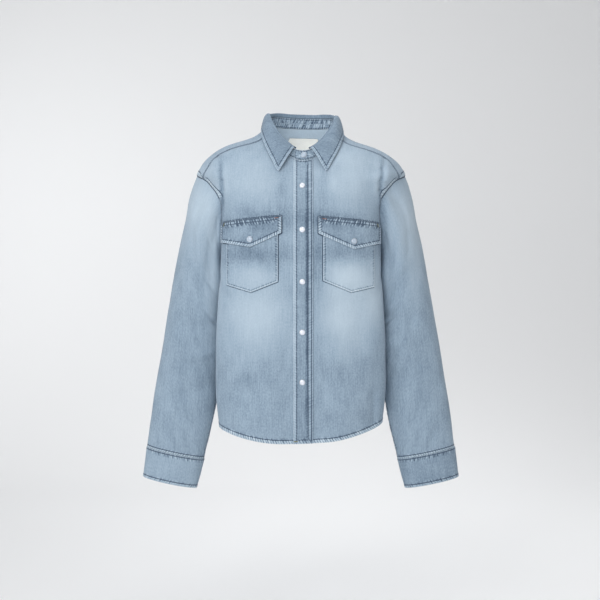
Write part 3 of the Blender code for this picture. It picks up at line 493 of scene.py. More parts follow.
TORSO_CREASES = fold_table(
    # the break beside each armhole
    (-72, -0.046, -64.3, -0.073, -0.003, 0.0032), (-64.3, -0.073, -62.4, -0.093, -0.0042, 0.003),
    (-62.4, -0.093, -63.2, -0.114, -0.0042, 0.003), (-63.2, -0.114, -65, -0.145, -0.0026, 0.0042),
    (-65, -0.145, -68, -0.19, -0.0012, 0.006), (72, -0.046, 66, -0.068, -0.0026, 0.0034),
    (66, -0.068, 63, -0.092, -0.0036, 0.0032), (63, -0.092, 64.2, -0.114, -0.0036, 0.0034),
    (64.2, -0.114, 68.5, -0.146, -0.0022, 0.0046), (68.5, -0.146, 71, -0.19, -0.001, 0.006),
    # the cloth that stands up inside it
    (-59.5, -0.08, -60.5, -0.12, 0.0016, 0.006), (60, -0.08, 61, -0.118, 0.0014, 0.006),
    # drags above the hem and down the fronts
    (58.8, -0.545, 60.6, -0.602, -0.0024, 0.007), (-52, -0.47, -44, -0.54, -0.001, 0.012),
    (47, -0.37, 50, -0.47, -0.0012, 0.011), (-14, -0.48, -18, -0.59, 0.0012, 0.013),
    (22, -0.5, 18, -0.6, -0.0011, 0.012),
    # drags out from under the arms, and down the back
    (-72, -0.3, -60, -0.345, -0.0016, 0.009), (72, -0.29, 61, -0.34, -0.0016, 0.009),
    (108, -0.285, 128, -0.33, -0.0022, 0.009), (252, -0.28, 233, -0.335, -0.0022, 0.009),
    (172, -0.15, 170, -0.29, -0.0018, 0.012), (186, -0.42, 184, -0.58, -0.002, 0.014))


def folds(rows, across, along, wrap, metres_across, metres_along):
    """The sum of a table's folds at a place: each is a bell round the line between its two ends."""
    total = 0.0
    for across_a, along_a, across_b, along_b, height, spread in zip(*rows.values()):
        away_across = ((across - across_a + wrap / 2) % wrap - wrap / 2) * metres_across
        away_along = (along - along_a) * metres_along
        line_across, line_along = (across_b - across_a) * metres_across, (along_b - along_a) * metres_along
        share = (away_across * line_across + away_along * line_along) / (line_across ** 2 + line_along ** 2)
        share = np.clip(share, 0, 1)
        distance = np.hypot(away_across - share * line_across, away_along - share * line_along)
        total = total + height * bell(distance, spread)
    return total


def torso_folds(turn, level):
    """How far the folds, the creases and the slow unevenness move the cloth out."""
    height = sum(folds(rows, turn, level, 360.0, METRES_PER_TURN, 1.0) for rows in (TORSO_FOLDS, TORSO_CREASES))
    slow = soft_noise(turn / 360 * BUMPS_ROUND, level / 0.075, 1, BUMPS_ROUND)
    quick = soft_noise(turn / 360 * BUMPS_ROUND * 3, level / 0.045, 2, BUMPS_ROUND * 3)
    return height + 0.0009 * slow + 0.00025 * quick


print("folds and creases on the body:", len(TORSO_FOLDS["height"]) + len(TORSO_CREASES["height"]))

# %% The torso
TURN_STEP, LEVEL_STEP = 0.2, 0.0005      # to each side, for a normal
PACE, SLOW_PACE = 0.14, 0.16             # metres to a radian, for each correction of a search
X_ROUNDS, PLACE_ROUNDS = 14, 22          # corrections until a search has arrived
FRONT_DEPTH = 0.115                      # about how far in front of the middle the fronts lie


def paired(a, b):
    """Two values as arrays of one shape."""
    return np.broadcast_arrays(np.asarray(a, float), np.asarray(b, float))


def smooth_torso(turn, level):
    """The torso's form without its folds. Turn is in degrees from the middle front to the wearer's left."""
    turn, level = paired(turn, level)
    at = {name: smooth(TORSO["level"], TORSO[name], level) for name in TORSO}
    sine, cosine = np.sin(np.radians(turn)), np.cos(np.radians(turn))
    ahead = cosine > 0
    depth = np.where(ahead, at["front"], at["back"])
    drop = np.where(ahead, at["front_drop"], at["back_drop"])
    n = at["corner"]
    reach = (np.abs(sine / at["half_width"]) ** n + np.abs(cosine / depth) ** n) ** (-1 / n)
    from_side = 90 - np.abs((turn % 360 + 90) % 180 - 90)
    x = reach * sine * (1 - at["pinch"] * bell(from_side, PINCH_SPREAD))
    sinking = 1 - np.abs(sine) ** (2 * np.where(ahead, at["front_flat"], at["back_flat"]))
    return np.stack([x + at["aside"], -reach * cosine, level - drop * sinking + at["askew"] * x], axis=-1)


def normal_of(surface, turn, level):
    """The outward unit normal of the body's surface, from points a little to each side."""
    level = np.clip(level, HEM_LEVEL + 2 * LEVEL_STEP, NECK_LEVEL - 2 * LEVEL_STEP)
    along = surface(turn + TURN_STEP, level) - surface(turn - TURN_STEP, level)
    up = surface(turn, level + LEVEL_STEP) - surface(turn, level - LEVEL_STEP)
    return unit(np.cross(along, up))


def torso(turn, level):
    """A point of the torso's outer face, folds and all."""
    turn, level = paired(turn, level)
    normal = normal_of(smooth_torso, turn, level)
    return smooth_torso(turn, level) + normal * torso_folds(turn, level)[..., None]


def torso_normal(turn, level):
    return normal_of(torso, *paired(turn, level))


def turn_at_x(x, level):
    """The turn on the front of the torso that lies at x."""
    turn = np.degrees(np.arctan2(x, FRONT_DEPTH)) + 0 * np.asarray(level, float)
    for _ in range(X_ROUNDS):
        turn = turn + np.degrees((x - torso(turn, level)[..., 0]) / PACE)
    return turn


def place_on_front(x, z):
    """The turn and level of the point of the front at x and z."""
    x, z = paired(x, z)
    turn, level = np.degrees(np.arctan2(x, FRONT_DEPTH)), z + 0.03
    for _ in range(PLACE_ROUNDS):
        here = torso(turn, level)
        turn = turn + np.degrees((x - here[..., 0]) / SLOW_PACE)
        level = np.clip(level + 0.8 * (z - here[..., 2]), HEM_LEVEL, NECK_LEVEL)
    return turn, level


print("the chest is", round(1000 * float(torso(90, -0.3)[0] - torso(-90, -0.3)[0])), "mm wide at the underarm")

# %% [markdown]
# ## Seams
#
# A sewn seam is more than a line. The cloth is turned under, so it is thicker up to the last row of stitches; the
# thread pulls a small trough; and both sides of the trough pucker. Each vertex near a seam is told how far along
# and how far from the seam it lies, and both the shape and the finish are worked out from that.

# %% Seams
GAP = 0.0003               # air between neighbouring pieces
CLOTH, BAND = 0.0012, 0.0020
LINE_STEP = 0.0008         # from one point to the next along a seam's line
SIDESTEP = 0.0006          # how far along it a point may lie from the nearest of them


def border(shape, side, first=0.0, last=1.0):
    """The grid places along one side of a sheet, or along a share of it."""
    rows, columns = shape[:2]
    count = rows if "column" in side else columns
    k = np.arange(int(round(first * (count - 1))), int(round(last * (count - 1))) + 1)
    fixed = {"first_row": 0, "last_row": rows - 1, "first_column": 0, "last_column": columns - 1}[side]
    other = np.full(len(k), fixed)
    return (k, other) if "column" in side else (other, k)


def grid_path(shape, sides):
    """The grid places along a side, a share of one, or a list of these that follow on from each other."""
    sides = sides if isinstance(sides, list) else [sides]
    (rows, columns), *others = [border(shape, *((side,) if isinstance(side, str) else side)) for side in sides]
    for next_rows, next_columns in others:
        end_gap = abs(next_rows[0] - rows[-1]) + abs(next_columns[0] - columns[-1])
        turned_gap = abs(next_rows[-1] - rows[-1]) + abs(next_columns[-1] - columns[-1])
        if turned_gap < end_gap:
            next_rows, next_columns = next_rows[::-1], next_columns[::-1]
        rows, columns = np.concatenate([rows, next_rows[1:]]), np.concatenate([columns, next_columns[1:]])
    return rows, columns


def seam(path, rows=(), rope=1.0, fold=0.0004, worn=0.8, dark=0.42, reach=0.006, sewn=True):
    """A seam: its path, as sides of the grid or as points, and its rows of stitches.

    Rope is how much it puckers and reach how far, fold its extra height, worn how pale its margin is, and dark how
    dark the line under its stitches is. That line is painted shade in the stitches' trough, partly blue kept there;
    on a seam that is not sewn it is a painted shadow line along the edge, with no thread.
    """
    return dict(path=path, rows=tuple(rows), rope=rope, fold=fold, worn=worn, dark=dark, reach=reach, sewn=sewn)


def resampled(points, step, *others):
    """Points every step along a line, with other arrays carried along, and the run to each."""
    reached = run_along(points)
    at = np.linspace(0, reached[-1], max(2, int(round(reached[-1] / step)) + 1))
    carried = [np.stack([np.interp(at, reached, array[:, k]) for k in range(3)], axis=1)
               for array in (points, *others)]
    return at, carried


def seam_lines(points, seams):
    """Each seam's line over a sheet, finely sampled, with its tangents and the way into the sheet."""
    rows, columns = points.shape[:2]
    for one in seams:
        line = inner = one["path"]
        if not isinstance(line, np.ndarray):
            i, j = grid_path(points.shape, line)
            line, inner = points[i, j], points[np.clip(i, 3, rows - 4), np.clip(j, 3, columns - 4)]
        one["run"], (one["line"], one["inner"]) = resampled(line, LINE_STEP, inner)
        one["tangent"] = unit(np.gradient(one["line"], axis=0))


def finder(places):
    """A tree that finds the nearest of some places."""
    tree = KDTree(len(places))
    for k, place in enumerate(places):
        tree.insert(place, k)
    tree.balance()
    return tree


def seam_field(points, seams):
    """How far along and away from its nearest seam each point lies, and which seam that is."""
    line, tangent, run = (np.concatenate(parts) for parts in zip(*(
        (one["line"], one["tangent"], one["run"] + 10 * k) for k, one in enumerate(seams))))
    which = np.repeat(np.arange(len(seams)), [len(one["line"]) for one in seams])
    tree = finder(line)
    flat = points.reshape(-1, 3)
    nearest = np.array([tree.find(place)[1] for place in flat])
    offset = flat - line[nearest]
    forward = np.clip((offset * tangent[nearest]).sum(axis=1), -SIDESTEP, SIDESTEP)
    away = np.linalg.norm(offset - forward[:, None] * tangent[nearest], axis=1)
    return [values.reshape(points.shape[:2]) for values in (run[nearest] + forward, away, which[nearest])]


def seam_relief(run, away, row_a, row_b, rope, fold):
    """The height that a seam adds: its folded edge, the troughs under its stitches and the puckers beside them."""
    last = np.maximum(row_a, row_b)
    edge = fold * np.clip(1 - (away - last) / 0.0025, 0, 1)
    troughs = sum(bell(away - row, 0.0012) * (row > 0) for row in (row_a, row_b))
    pucker = soft_noise((run + away * 0.3) / 0.0052, away / 0.02, 4) * bell(away - last, 0.0060)
    return edge - 0.00030 * rope * troughs + 0.00032 * rope * pucker


print("a line of 0.1 m has", len(resampled(np.array([[0, 0, 0], [0.1, 0, 0]]), LINE_STEP)[0]), "points")

# %% [markdown]
# ## A sheet of cloth
#
# Every piece is a grid of points with an inner face and closed rims. A free edge is rounded, because it is a
# fold, and an edge that is sewn to a neighbour is drawn in by half the gap.

# %% Fades and painted shading
# Faded patches of the washing, with painted shade and painted light among them. Several rows on the viewer's left are
# darker than their twins on the right: painted shade that evens out the key light from that side.
FADES_AND_SHADING = table(
    "x z wide high strength face",        # face is -1 in front and 1 behind
    (-0.098, -0.108, 0.08, 0.042, 0.13, -1), (0.094, -0.108, 0.08, 0.042, 0.17, -1),
    (0.112, -0.058, 0.05, 0.03, 0.14, -1), (-0.112, -0.06, 0.05, 0.028, 0.06, -1),
    (-0.101, -0.306, 0.044, 0.032, 0.1, -1), (0.103, -0.302, 0.044, 0.036, 0.24, -1),
    (-0.09, -0.387, 0.066, 0.07, 0.2, -1), (0.092, -0.384, 0.056, 0.066, 0.25, -1),
    (-0.095, -0.516, 0.09, 0.032, -0.035, -1), (0.1, -0.505, 0.08, 0.032, -0.045, -1),
    (-0.038, -0.12, 0.012, 0.048, -0.1, -1), (0.048, -0.115, 0.013, 0.045, -0.11, -1),
    (-0.222, -0.155, 0.036, 0.074, 0.22, -1), (0.222, -0.165, 0.034, 0.085, 0.19, -1),
    (-0.08, -0.188, 0.09, 0.026, -0.11, -1), (0.06, -0.188, 0.06, 0.018, -0.11, -1),
    # painted shadow under each flap, with the darker blue kept there
    (-0.1, -0.262, 0.07, 0.026, -0.16, -1), (0.1, -0.264, 0.07, 0.024, -0.11, -1),
    # the next two lines: painted shade in the creases beside the armholes, partly blue kept in them
    (-0.169, -0.084, 0.004, 0.032, -0.18, -1), (-0.1655, -0.128, 0.004, 0.034, -0.2, -1),
    (0.1705, -0.084, 0.0042, 0.032, -0.12, -1), (0.1675, -0.126, 0.0042, 0.034, -0.13, -1),
    # painted light that lifts the shade between each armhole and its crease
    (-0.18, -0.104, 0.013, 0.046, 0.04, -1), (0.183, -0.1, 0.014, 0.05, 0.1, -1),
    (-0.157, -0.112, 0.008, 0.044, 0.08, -1), (0.159, -0.112, 0.008, 0.044, 0.08, -1),
    # painted shade where the fronts meet the sleeves under the arms
    (-0.169, -0.195, 0.007, 0.06, -0.12, -1), (0.174, -0.19, 0.01, 0.07, -0.14, -1),
    (0.246, -0.23, 0.022, 0.11, 0.13, -1), (0.156, -0.35, 0.02, 0.06, 0.15, -1),
    # first: painted shadow beside the front band's folded edge
    (0.0132, -0.33, 0.0038, 0.3, -0.26, -1), (0.035, -0.29, 0.012, 0.14, -0.09, -1),
    # first: painted light that lifts the shade on the inner side of the sleeve on the viewer's left
    (-0.187, -0.29, 0.018, 0.15, 0.17, -1), (-0.24, -0.44, 0.06, 0.14, -0.05, -1),
    (0.24, -0.44, 0.06, 0.14, -0.04, -1), (0, -0.15, 0.13, 0.075, 0.24, 1), (-0.11, -0.38, 0.07, 0.12, 0.16, 1),
    (0.11, -0.38, 0.07, 0.12, 0.18, 1), (-0.225, -0.15, 0.04, 0.08, 0.18, 1),
    (0.225, -0.15, 0.04, 0.08, 0.18, 1), (-0.245, -0.43, 0.05, 0.11, 0.15, 1),
    (0.245, -0.43, 0.05, 0.11, 0.15, 1))
LOW_LEVEL, LOW_DARKER = -0.47, 0.03      # the cloth grows darker below this level, towards the hem


def fade_and_shading_of(points):
    """How far the washing took the blue off, by place, with the painted shade and painted light of the same table."""
    x, y, z = np.moveaxis(points, -1, 0)
    total = 0.0
    for k, (at_x, at_z, wide, high, strength, face) in enumerate(zip(*FADES_AND_SHADING.values())):
        away = np.hypot((x - at_x) / wide, (z - at_z) / high)
        away = away * (1 + 0.16 * soft_noise(x / 0.03, z / 0.045, 8 + k))
        facing = np.clip(0.5 + face * y / 0.06, 0, 1)
        total = total + strength * facing * np.clip(1.25 - 0.75 * away, 0, 1) ** 1.5
    return total - LOW_DARKER * np.clip((LOW_LEVEL - z) / 0.1, 0, 1)


print("fades and dark places:", len(FADES_AND_SHADING["x"]))

# %% Sheets of cloth
PIECES = {}
EDGE_IN, EDGE_OUT = 0.30, 0.42     # a folded edge: its faces stop short and its middle stands out, in thicknesses


def grid_normals(points, centre=None):
    """A sheet's unit normals, and whether its faces have to be turned round to point outwards."""
    normals = unit(np.cross(np.gradient(points, axis=1), np.gradient(points, axis=0)))
    outwards = points[-1] * [1, 1, 0] if centre is None else points[-1] - centre
    turned = float((normals[-1] * outwards).sum()) < 0
    return (-normals if turned else normals), turned


def flat_coordinates(points):
    """Where each point of a sheet lay in the flat cloth: metres across from its middle, and up from its foot."""
    across, up = run_along(points, 1), run_along(points)
    return np.stack([across - across[:, -1:] / 2, up, 0 * up], axis=-1)


def body_grain(face):
    """The flat coordinates of a front (-1) or back (1): level across the chest, and round to the side seams."""
    def grain(points):
        x, y, z = np.moveaxis(points, -1, 0)
        depth = FRONT_DEPTH - face * y
        round_side = eased(np.abs(x), 0.13, 0.19) * eased(-z, 0.08, 0.16)
        across = np.sign(x) * (np.abs(x) + 0.8 * round_side * depth)
        return np.stack([across, z + depth * eased(z, -0.16, -0.06), 0 * x], axis=-1)
    return grain


def yoke_grain(points):
    x, y, z = np.moveaxis(points, -1, 0)
    return np.stack([x, y - z * np.tanh(y / 0.03), 0 * x], axis=-1)


def patch_grain(points):
    return points[..., [0, 2, 2]] * [1, 1, 0]


flat = flat_coordinates(np.array([[(0, 0, 0), (1, 0, 0)], [(0, 0, 1), (1, 0, 1)]], float))
print("a metre of cloth lies flat from", flat[0, 0, 0], "to", flat[0, 1, 0])


# %% The shell of a sheet
def perimeter(rows, columns):
    """The grid places once round a sheet, and the neighbour of each that lies inside."""
    i = np.concatenate([np.zeros(columns - 1), np.arange(rows - 1), np.full(columns - 1, rows - 1),
                        np.arange(rows - 1, 0, -1)]).astype(int)
    j = np.concatenate([np.arange(columns - 1), np.full(rows - 1, columns - 1), np.arange(columns - 1, 0, -1),
                        np.zeros(rows - 1)]).astype(int)
    return i, j, np.clip(i, 1, rows - 2), np.clip(j, 1, columns - 2)


def shell(outer, normals, thickness, rounded):
    """A closed sheet: its vertices, its faces, the outer face's quads and the outer vertices along its rim."""
    rows, columns = outer.shape[:2]
    i, j, inner_i, inner_j = perimeter(rows, columns)
    outward = square_to(outer[i, j] - outer[inner_i, inner_j], normals[i, j])
    sides = {"first_row": i == 0, "last_row": i == rows - 1, "first_column": j == 0, "last_column": j == columns - 1}
    free = sum((sides[side] for side in rounded), np.zeros(len(i), bool))[:, None]
    outer = outer.copy()
    outer[i, j] -= outward * np.where(free, thickness * EDGE_IN, GAP / 2)
    inner = outer - normals * thickness
    middle = (outer[i, j] + inner[i, j]) / 2 + outward * np.where(free, thickness * EDGE_OUT, 0)
    count = rows * columns
    index = np.arange(count).reshape(rows, columns)
    quads = np.stack([index[:-1, :-1], index[:-1, 1:], index[1:, 1:], index[1:, :-1]], axis=-1).reshape(-1, 4)
    edge, rim = index[i, j], 2 * count + np.arange(len(i))
    after, rim_after = np.roll(edge, -1), np.roll(rim, -1)
    faces = np.concatenate([quads, quads[:, ::-1] + count, np.stack([after, edge, rim, rim_after], axis=1),
                            np.stack([rim_after, rim, edge + count, after + count], axis=1)])
    return np.concatenate([outer.reshape(-1, 3), inner.reshape(-1, 3), middle]), faces, quads, edge


def carry(mesh, name, values):
    """Give each vertex of a mesh one number, or three."""
    kind, field = ("FLOAT", "value") if values.shape[1] == 1 else ("FLOAT_VECTOR", "vector")
    mesh.attributes.new(name, kind, "POINT").data.foreach_set(field, values.astype(np.float32).ravel())


def cloth(node, points, seams, thickness=CLOTH, finish=body_denim, centre=None, rounded=(), tone=0.0,
          inner_rope=0.4, fades_and_shading=True, facing_out=False, grain=flat_coordinates, kind="cloth"):
    """One cut piece: the sheet, its inner face and its rims, in place of the node it stands for."""
    normals, turned = grid_normals(points, centre)
    seam_lines(points, seams)
    run, away, which = seam_field(points, seams)
    row_a, row_b = (np.array([(*one["rows"], 0, 0)[k] for one in seams], float)[which] for k in range(2))
    rope, fold, worn, dark, reach = (np.array([one[name] for one in seams])[which]
                                     for name in ("rope", "fold", "worn", "dark", "reach"))
    outer = points + normals * seam_relief(run, away, row_a, row_b, rope, fold)[..., None]
    vertices, faces, quads, edge = shell(outer, grid_normals(outer, centre)[0], thickness, rounded)
    if turned:
        faces, quads = faces[:, ::-1], quads[:, ::-1]
    made = shaped(f"{node}_{kind}", vertices.tolist(), faces.tolist(), finish)
    count = run.size

    def thrice(values, inner_share=1.0):
        """A grid's values on the outer face, the inner face and the rims."""
        values = values.reshape(count, -1)
        return np.concatenate([values, values * inner_share, values[edge]])

    inside = np.repeat([0.0, 0.0 if facing_out else 1.0, 0.0], [count, count, len(edge)])
    # fade holds the faded patches together with painted shade and painted light, and the piece's tone, which on the
    # cuffs is painted light on one and painted shade on the other
    carried = {"cloth": [thrice(grain(points))], "seam": [thrice(run), thrice(away), thrice(rope, inner_rope)],
               "rows": [thrice(row_a), thrice(row_b), inside],
               "fade": [thrice((fade_and_shading_of(points) if fades_and_shading else 0 * run) + tone)],
               "wear": [thrice(worn), thrice(dark), thrice(reach)]}
    for name, values in carried.items():
        carry(made.data, name, np.column_stack(values))
    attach(made, "root")
    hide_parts(node)
    PIECES[node] = dict(object=made, points=vertices[:count].reshape(points.shape), seams=seams,
                        tree=BVHTree.FromPolygons(vertices[:count].tolist(), quads.tolist()))
    print(made.name, 2 * len(faces), "triangles")

# %% [markdown]
# ## Fronts, back and yoke
#
# The body is cut in four pieces and a band. The fronts run from the hem to the neck, the back stops at the yoke,
# and the yoke comes forward over the shoulders, so its front seams show. Rows of points are closer together at
# the underarm, where the armhole's edge runs flat.


# %% The armhole and the rows of the body
def spaced(*stops_and_steps):
    """Values through stops, each stretch in steps of about the size given after its first stop."""
    stops, steps = stops_and_steps[::2], stops_and_steps[1::2]
    pieces = [np.linspace(a, b, max(1, int(round(abs(b - a) / step))) + 1)[:-1]
              for a, b, step in zip(stops, stops[1:], steps)]
    return np.concatenate(pieces + [[stops[-1]]])


UNDERARM_LEVEL = -0.262
TIP_POINTS, TOP_TURN = 14, 90.5        # over the shoulder's tip, and the turn of its top
SIDE_LEVELS = spaced(HEM_LEVEL, 0.0022, -0.590, 0.0030, UNDERARM_LEVEL)
ARMHOLE_LEVELS = spaced(UNDERARM_LEVEL, 0.0010, -0.254, 0.0017, -0.232, 0.0026, YOKE_LEVEL)
SHOULDER_LEVELS = spaced(YOKE_LEVEL, 0.0026, NECK_LEVEL)


def armhole_turn(level, face):
    return smooth(ARMHOLE["level"], ARMHOLE[face], level)


def forward_turn(level):
    return smooth(FORWARD_SEAM["level"], FORWARD_SEAM["turn"], level)


def armhole_loop(shares):
    """Turns and levels at shares of the way round the armhole, from the underarm up the front and down the back."""
    up = spaced(UNDERARM_LEVEL, 0.0008, -0.237, 0.002, YOKE_LEVEL, 0.001, SHOULDER_LEVEL)
    front_turns, back_turns = armhole_turn(up, "front_turn"), armhole_turn(up, "back_turn")
    tip = np.linspace(front_turns[-1], back_turns[-1], TIP_POINTS)[1:-1]
    turns = np.concatenate([front_turns, tip, back_turns[::-1]])
    levels = np.concatenate([up, np.full(len(tip), SHOULDER_LEVEL), up[::-1]])
    line = torso(turns, levels)
    reached, over_tip = run_along(line), slice(len(up) - 1, len(up) + TIP_POINTS - 1)
    top = np.interp(TOP_TURN, turns[over_tip], reached[over_tip])
    share = np.where(reached < top, 0.5 * reached / top, 0.5 + 0.5 * (reached - top) / (reached[-1] - top))
    return np.interp(shares, share, turns), np.interp(shares, share, levels)


print("rows up the front:", len(SIDE_LEVELS) + len(ARMHOLE_LEVELS) + len(SHOULDER_LEVELS) - 2)


# %% Fronts
def patch_corners(right, left):
    """The corners of a pocket or flap on each front, by name."""
    names = "inner_x outer_x inner_z outer_z tip_x tip_z top_inner_z top_outer_z".split()
    return {"right": dict(zip(names, right)), "left": dict(zip(names, left))}


POCKETS = patch_corners((-0.0474, -0.1545, -0.3186, -0.3248, -0.1035, -0.3404, -0.1950, -0.2040),
                        (0.0462, 0.1535, -0.3166, -0.3290, 0.1045, -0.3404, -0.1950, -0.2040))
FLAPS = patch_corners((-0.0401, -0.1649, -0.2177, -0.2354, -0.1045, -0.2468, -0.1813, -0.1927),
                      (0.0367, 0.1650, -0.2190, -0.2375, 0.1095, -0.2510, -0.1835, -0.1940))
FRONT_EDGES = {"left": 0.0165, "right": 0.0150}
FRONT_COLUMNS, BACK_COLUMNS, YOKE_ROWS = 84, 150, 44
ARM_ROWS, HEM_ROWS = (0.0012, 0.0112), (0.0078,)
LAPPED_ROWS = (0.0018, 0.0080)     # the two rows of a seam whose edges are folded into each other
ROWS_END_LEVEL = -0.135            # below it the armhole's rows lie hidden in the fold under the arm


def on_front(x, z, lift):
    """Points over the front, moved out from it by lift."""
    turn, level = place_on_front(x, z)
    return torso(turn, level) + torso_normal(turn, level) * np.asarray(lift)[..., None]


def traced(*corners):
    """Points along straight lines between places on the front."""
    ends = np.array(corners, float)
    at = np.arange(0, len(ends) - 1 + 1e-9, 0.04)
    return on_front(*(np.interp(at, np.arange(len(ends)), ends[:, k]) for k in range(2)), 0.0)


def around_patch(shape):
    """The corners of a pocket or flap: down one side, round the point and up the other."""
    return ((shape["inner_x"], shape["top_inner_z"]), (shape["inner_x"], shape["inner_z"]),
            (shape["tip_x"], shape["tip_z"]), (shape["outer_x"], shape["outer_z"]),
            (shape["outer_x"], shape["top_outer_z"]))


def front(side):
    """A front: from its edge in the middle to the side seam, the armhole and the yoke."""
    levels = np.concatenate([SIDE_LEVELS[:-1], ARMHOLE_LEVELS[:-1], SHOULDER_LEVELS])
    seam_turn = np.concatenate([np.full(len(SIDE_LEVELS) - 1, 90.0), armhole_turn(ARMHOLE_LEVELS[:-1], "front_turn"),
                                forward_turn(SHOULDER_LEVELS)])
    edge = turn_at_x(FRONT_EDGES[side], levels)
    first, last = (edge, seam_turn) if side == "left" else (-seam_turn, edge)
    turns = first[:, None] + (last - first)[:, None] * np.linspace(0, 1, FRONT_COLUMNS)
    outer = "last_column" if side == "left" else "first_column"
    count = len(levels) - 1
    underarm, yoke_row = (len(SIDE_LEVELS) - 1) / count, (len(SIDE_LEVELS) + len(ARMHOLE_LEVELS) - 2) / count
    hidden = (len(SIDE_LEVELS) - 1 + np.searchsorted(ARMHOLE_LEVELS, ROWS_END_LEVEL)) / count
    pocket_edge, flap_edge = around_patch(POCKETS[side]), around_patch(FLAPS[side])
    seams = [seam("first_row", HEM_ROWS, 1.0, 0.0006, 0.9, 0.6),
             seam((outer, 0, underarm), (), 0.4, 0.0002, 0.2),
             seam((outer, underarm, hidden), (), 0.1, 0.0, 0.0),
             seam((outer, hidden, yoke_row), ARM_ROWS, 0.6, 0.0006, 1.0, 1.15),
             # the next four draw a painted shadow line with no thread: at the yoke's edge, and along the pocket's and
             # the flap's edges and the flap's top, where they stand over the front
             seam((outer, yoke_row, 1), (0.0009,), 0.35, 0.0, 0.0, 0.9, sewn=False),
             seam(traced(*pocket_edge), (0.0010,), 0.5, 0.0, 0.0, 0.38, 0.002, sewn=False),
             seam(traced(*flap_edge), (0.0010,), 0.4, 0.0, 0.0, 0.52, 0.002, sewn=False),
             seam(traced(flap_edge[0], flap_edge[-1]), (0.0008,), 1.2, 0.0, 0.0, 0.45, 0.005, sewn=False)]
    cloth(f"front_{side}", torso(turns, levels[:, None]), seams, rounded=("first_row",), grain=body_grain(-1))


for side in SIDES:
    front(side)


# %% Back
def back():
    """The back: one piece from the hem to the yoke."""
    levels = np.concatenate([SIDE_LEVELS[:-1], ARMHOLE_LEVELS])
    seam_turn = np.concatenate([np.full(len(SIDE_LEVELS) - 1, 90.0), armhole_turn(ARMHOLE_LEVELS, "back_turn")])
    turns = seam_turn[:, None] + (360 - 2 * seam_turn)[:, None] * np.linspace(0, 1, BACK_COLUMNS)
    underarm = (len(SIDE_LEVELS) - 1) / (len(levels) - 1)
    seams = [seam("first_row", HEM_ROWS, 1.0, 0.0006, 0.9, 0.6), seam("last_row", (), 0.4, 0.0)]
    for side in ("first_column", "last_column"):
        seams += [seam((side, 0, underarm), LAPPED_ROWS, 0.8, 0.0005),
                  seam((side, underarm, 1), ARM_ROWS, 0.8, 0.0006)]
    cloth("back", torso(turns, levels[:, None]), seams, rounded=("first_row",), grain=body_grain(1))


back()

# %% [markdown]
# The yoke's lower edge follows the armhole up over the shoulder tip and down again on each side, so its grid runs
# from that edge up to the neck rather than in level rows.

# %% Yoke
YOKE_RISE_POINTS, YOKE_TIP_POINTS, YOKE_BACK_POINTS = 9, 16, 110      # along its lower edge


def yoke():
    """The yoke: from the forward seam of one shoulder over the back to the other."""
    rise = np.linspace(YOKE_LEVEL, SHOULDER_LEVEL, YOKE_RISE_POINTS)
    tip = np.linspace(armhole_turn(SHOULDER_LEVEL, "front_turn"), armhole_turn(SHOULDER_LEVEL, "back_turn"),
                      YOKE_TIP_POINTS)
    near_turns = np.concatenate([armhole_turn(rise[:-1], "front_turn"), tip[:-1],
                                 armhole_turn(rise[::-1][:-1], "back_turn")])
    near_levels = np.concatenate([rise[:-1], np.full(len(tip) - 1, SHOULDER_LEVEL), rise[::-1][:-1]])
    back_turn = float(armhole_turn(YOKE_LEVEL, "back_turn"))
    across = np.linspace(back_turn, 360 - back_turn, YOKE_BACK_POINTS)
    turns = np.concatenate([near_turns, across, 360 - near_turns[::-1]])
    levels = np.concatenate([near_levels, np.full(len(across), YOKE_LEVEL), near_levels[::-1]])
    start, end = float(forward_turn(YOKE_LEVEL)), float(forward_turn(NECK_LEVEL))
    neck_turns = np.interp(turns, [start, 84, 97, back_turn, 360 - back_turn, 263, 276, 360 - start],
                           [end, 74, 90, 103, 257, 270, 286, 360 - end])
    up = np.linspace(0, 1, YOKE_ROWS)[:, None]
    grid_levels = levels + (NECK_LEVEL - levels) * up
    grid_turns = turns + (neck_turns - turns) * up
    bend = forward_turn(grid_levels[:, :1]) - grid_turns[:, :1]
    fade = np.clip(1 - np.arange(len(turns)) / (len(near_turns) * 0.8), 0, 1)
    grid_turns = grid_turns + bend * fade - bend * fade[::-1]
    arm = len(near_turns) / (len(turns) - 1)
    seams = [seam(("first_row", 0, arm), ARM_ROWS, 0.8, 0.0005, 1.0, 1.15),
             seam(("first_row", arm, 1 - arm), LAPPED_ROWS, 0.9, 0.0005),
             seam(("first_row", 1 - arm, 1), ARM_ROWS, 0.8, 0.0005, 1.0, 1.15)]
    # a painted shadow line at each front edge of the yoke, with no thread
    seams += [seam(side, (0.0014,), 0.5, 0.0006, 0.0, 0.95, sewn=False) for side in ("first_column", "last_column")]
    cloth("yoke", torso(grid_turns, grid_levels), seams, grain=yoke_grain)


yoke()

# %% [markdown]
# ## Sleeves and cuffs
#
# A sleeve is one piece, rolled up and closed by a seam under the arm. It starts on the armhole's own curve and
# turns into plain ovals by the elbow. The cuff is a folded band whose ends lap at the back of the wrist and are
# held by a snap.

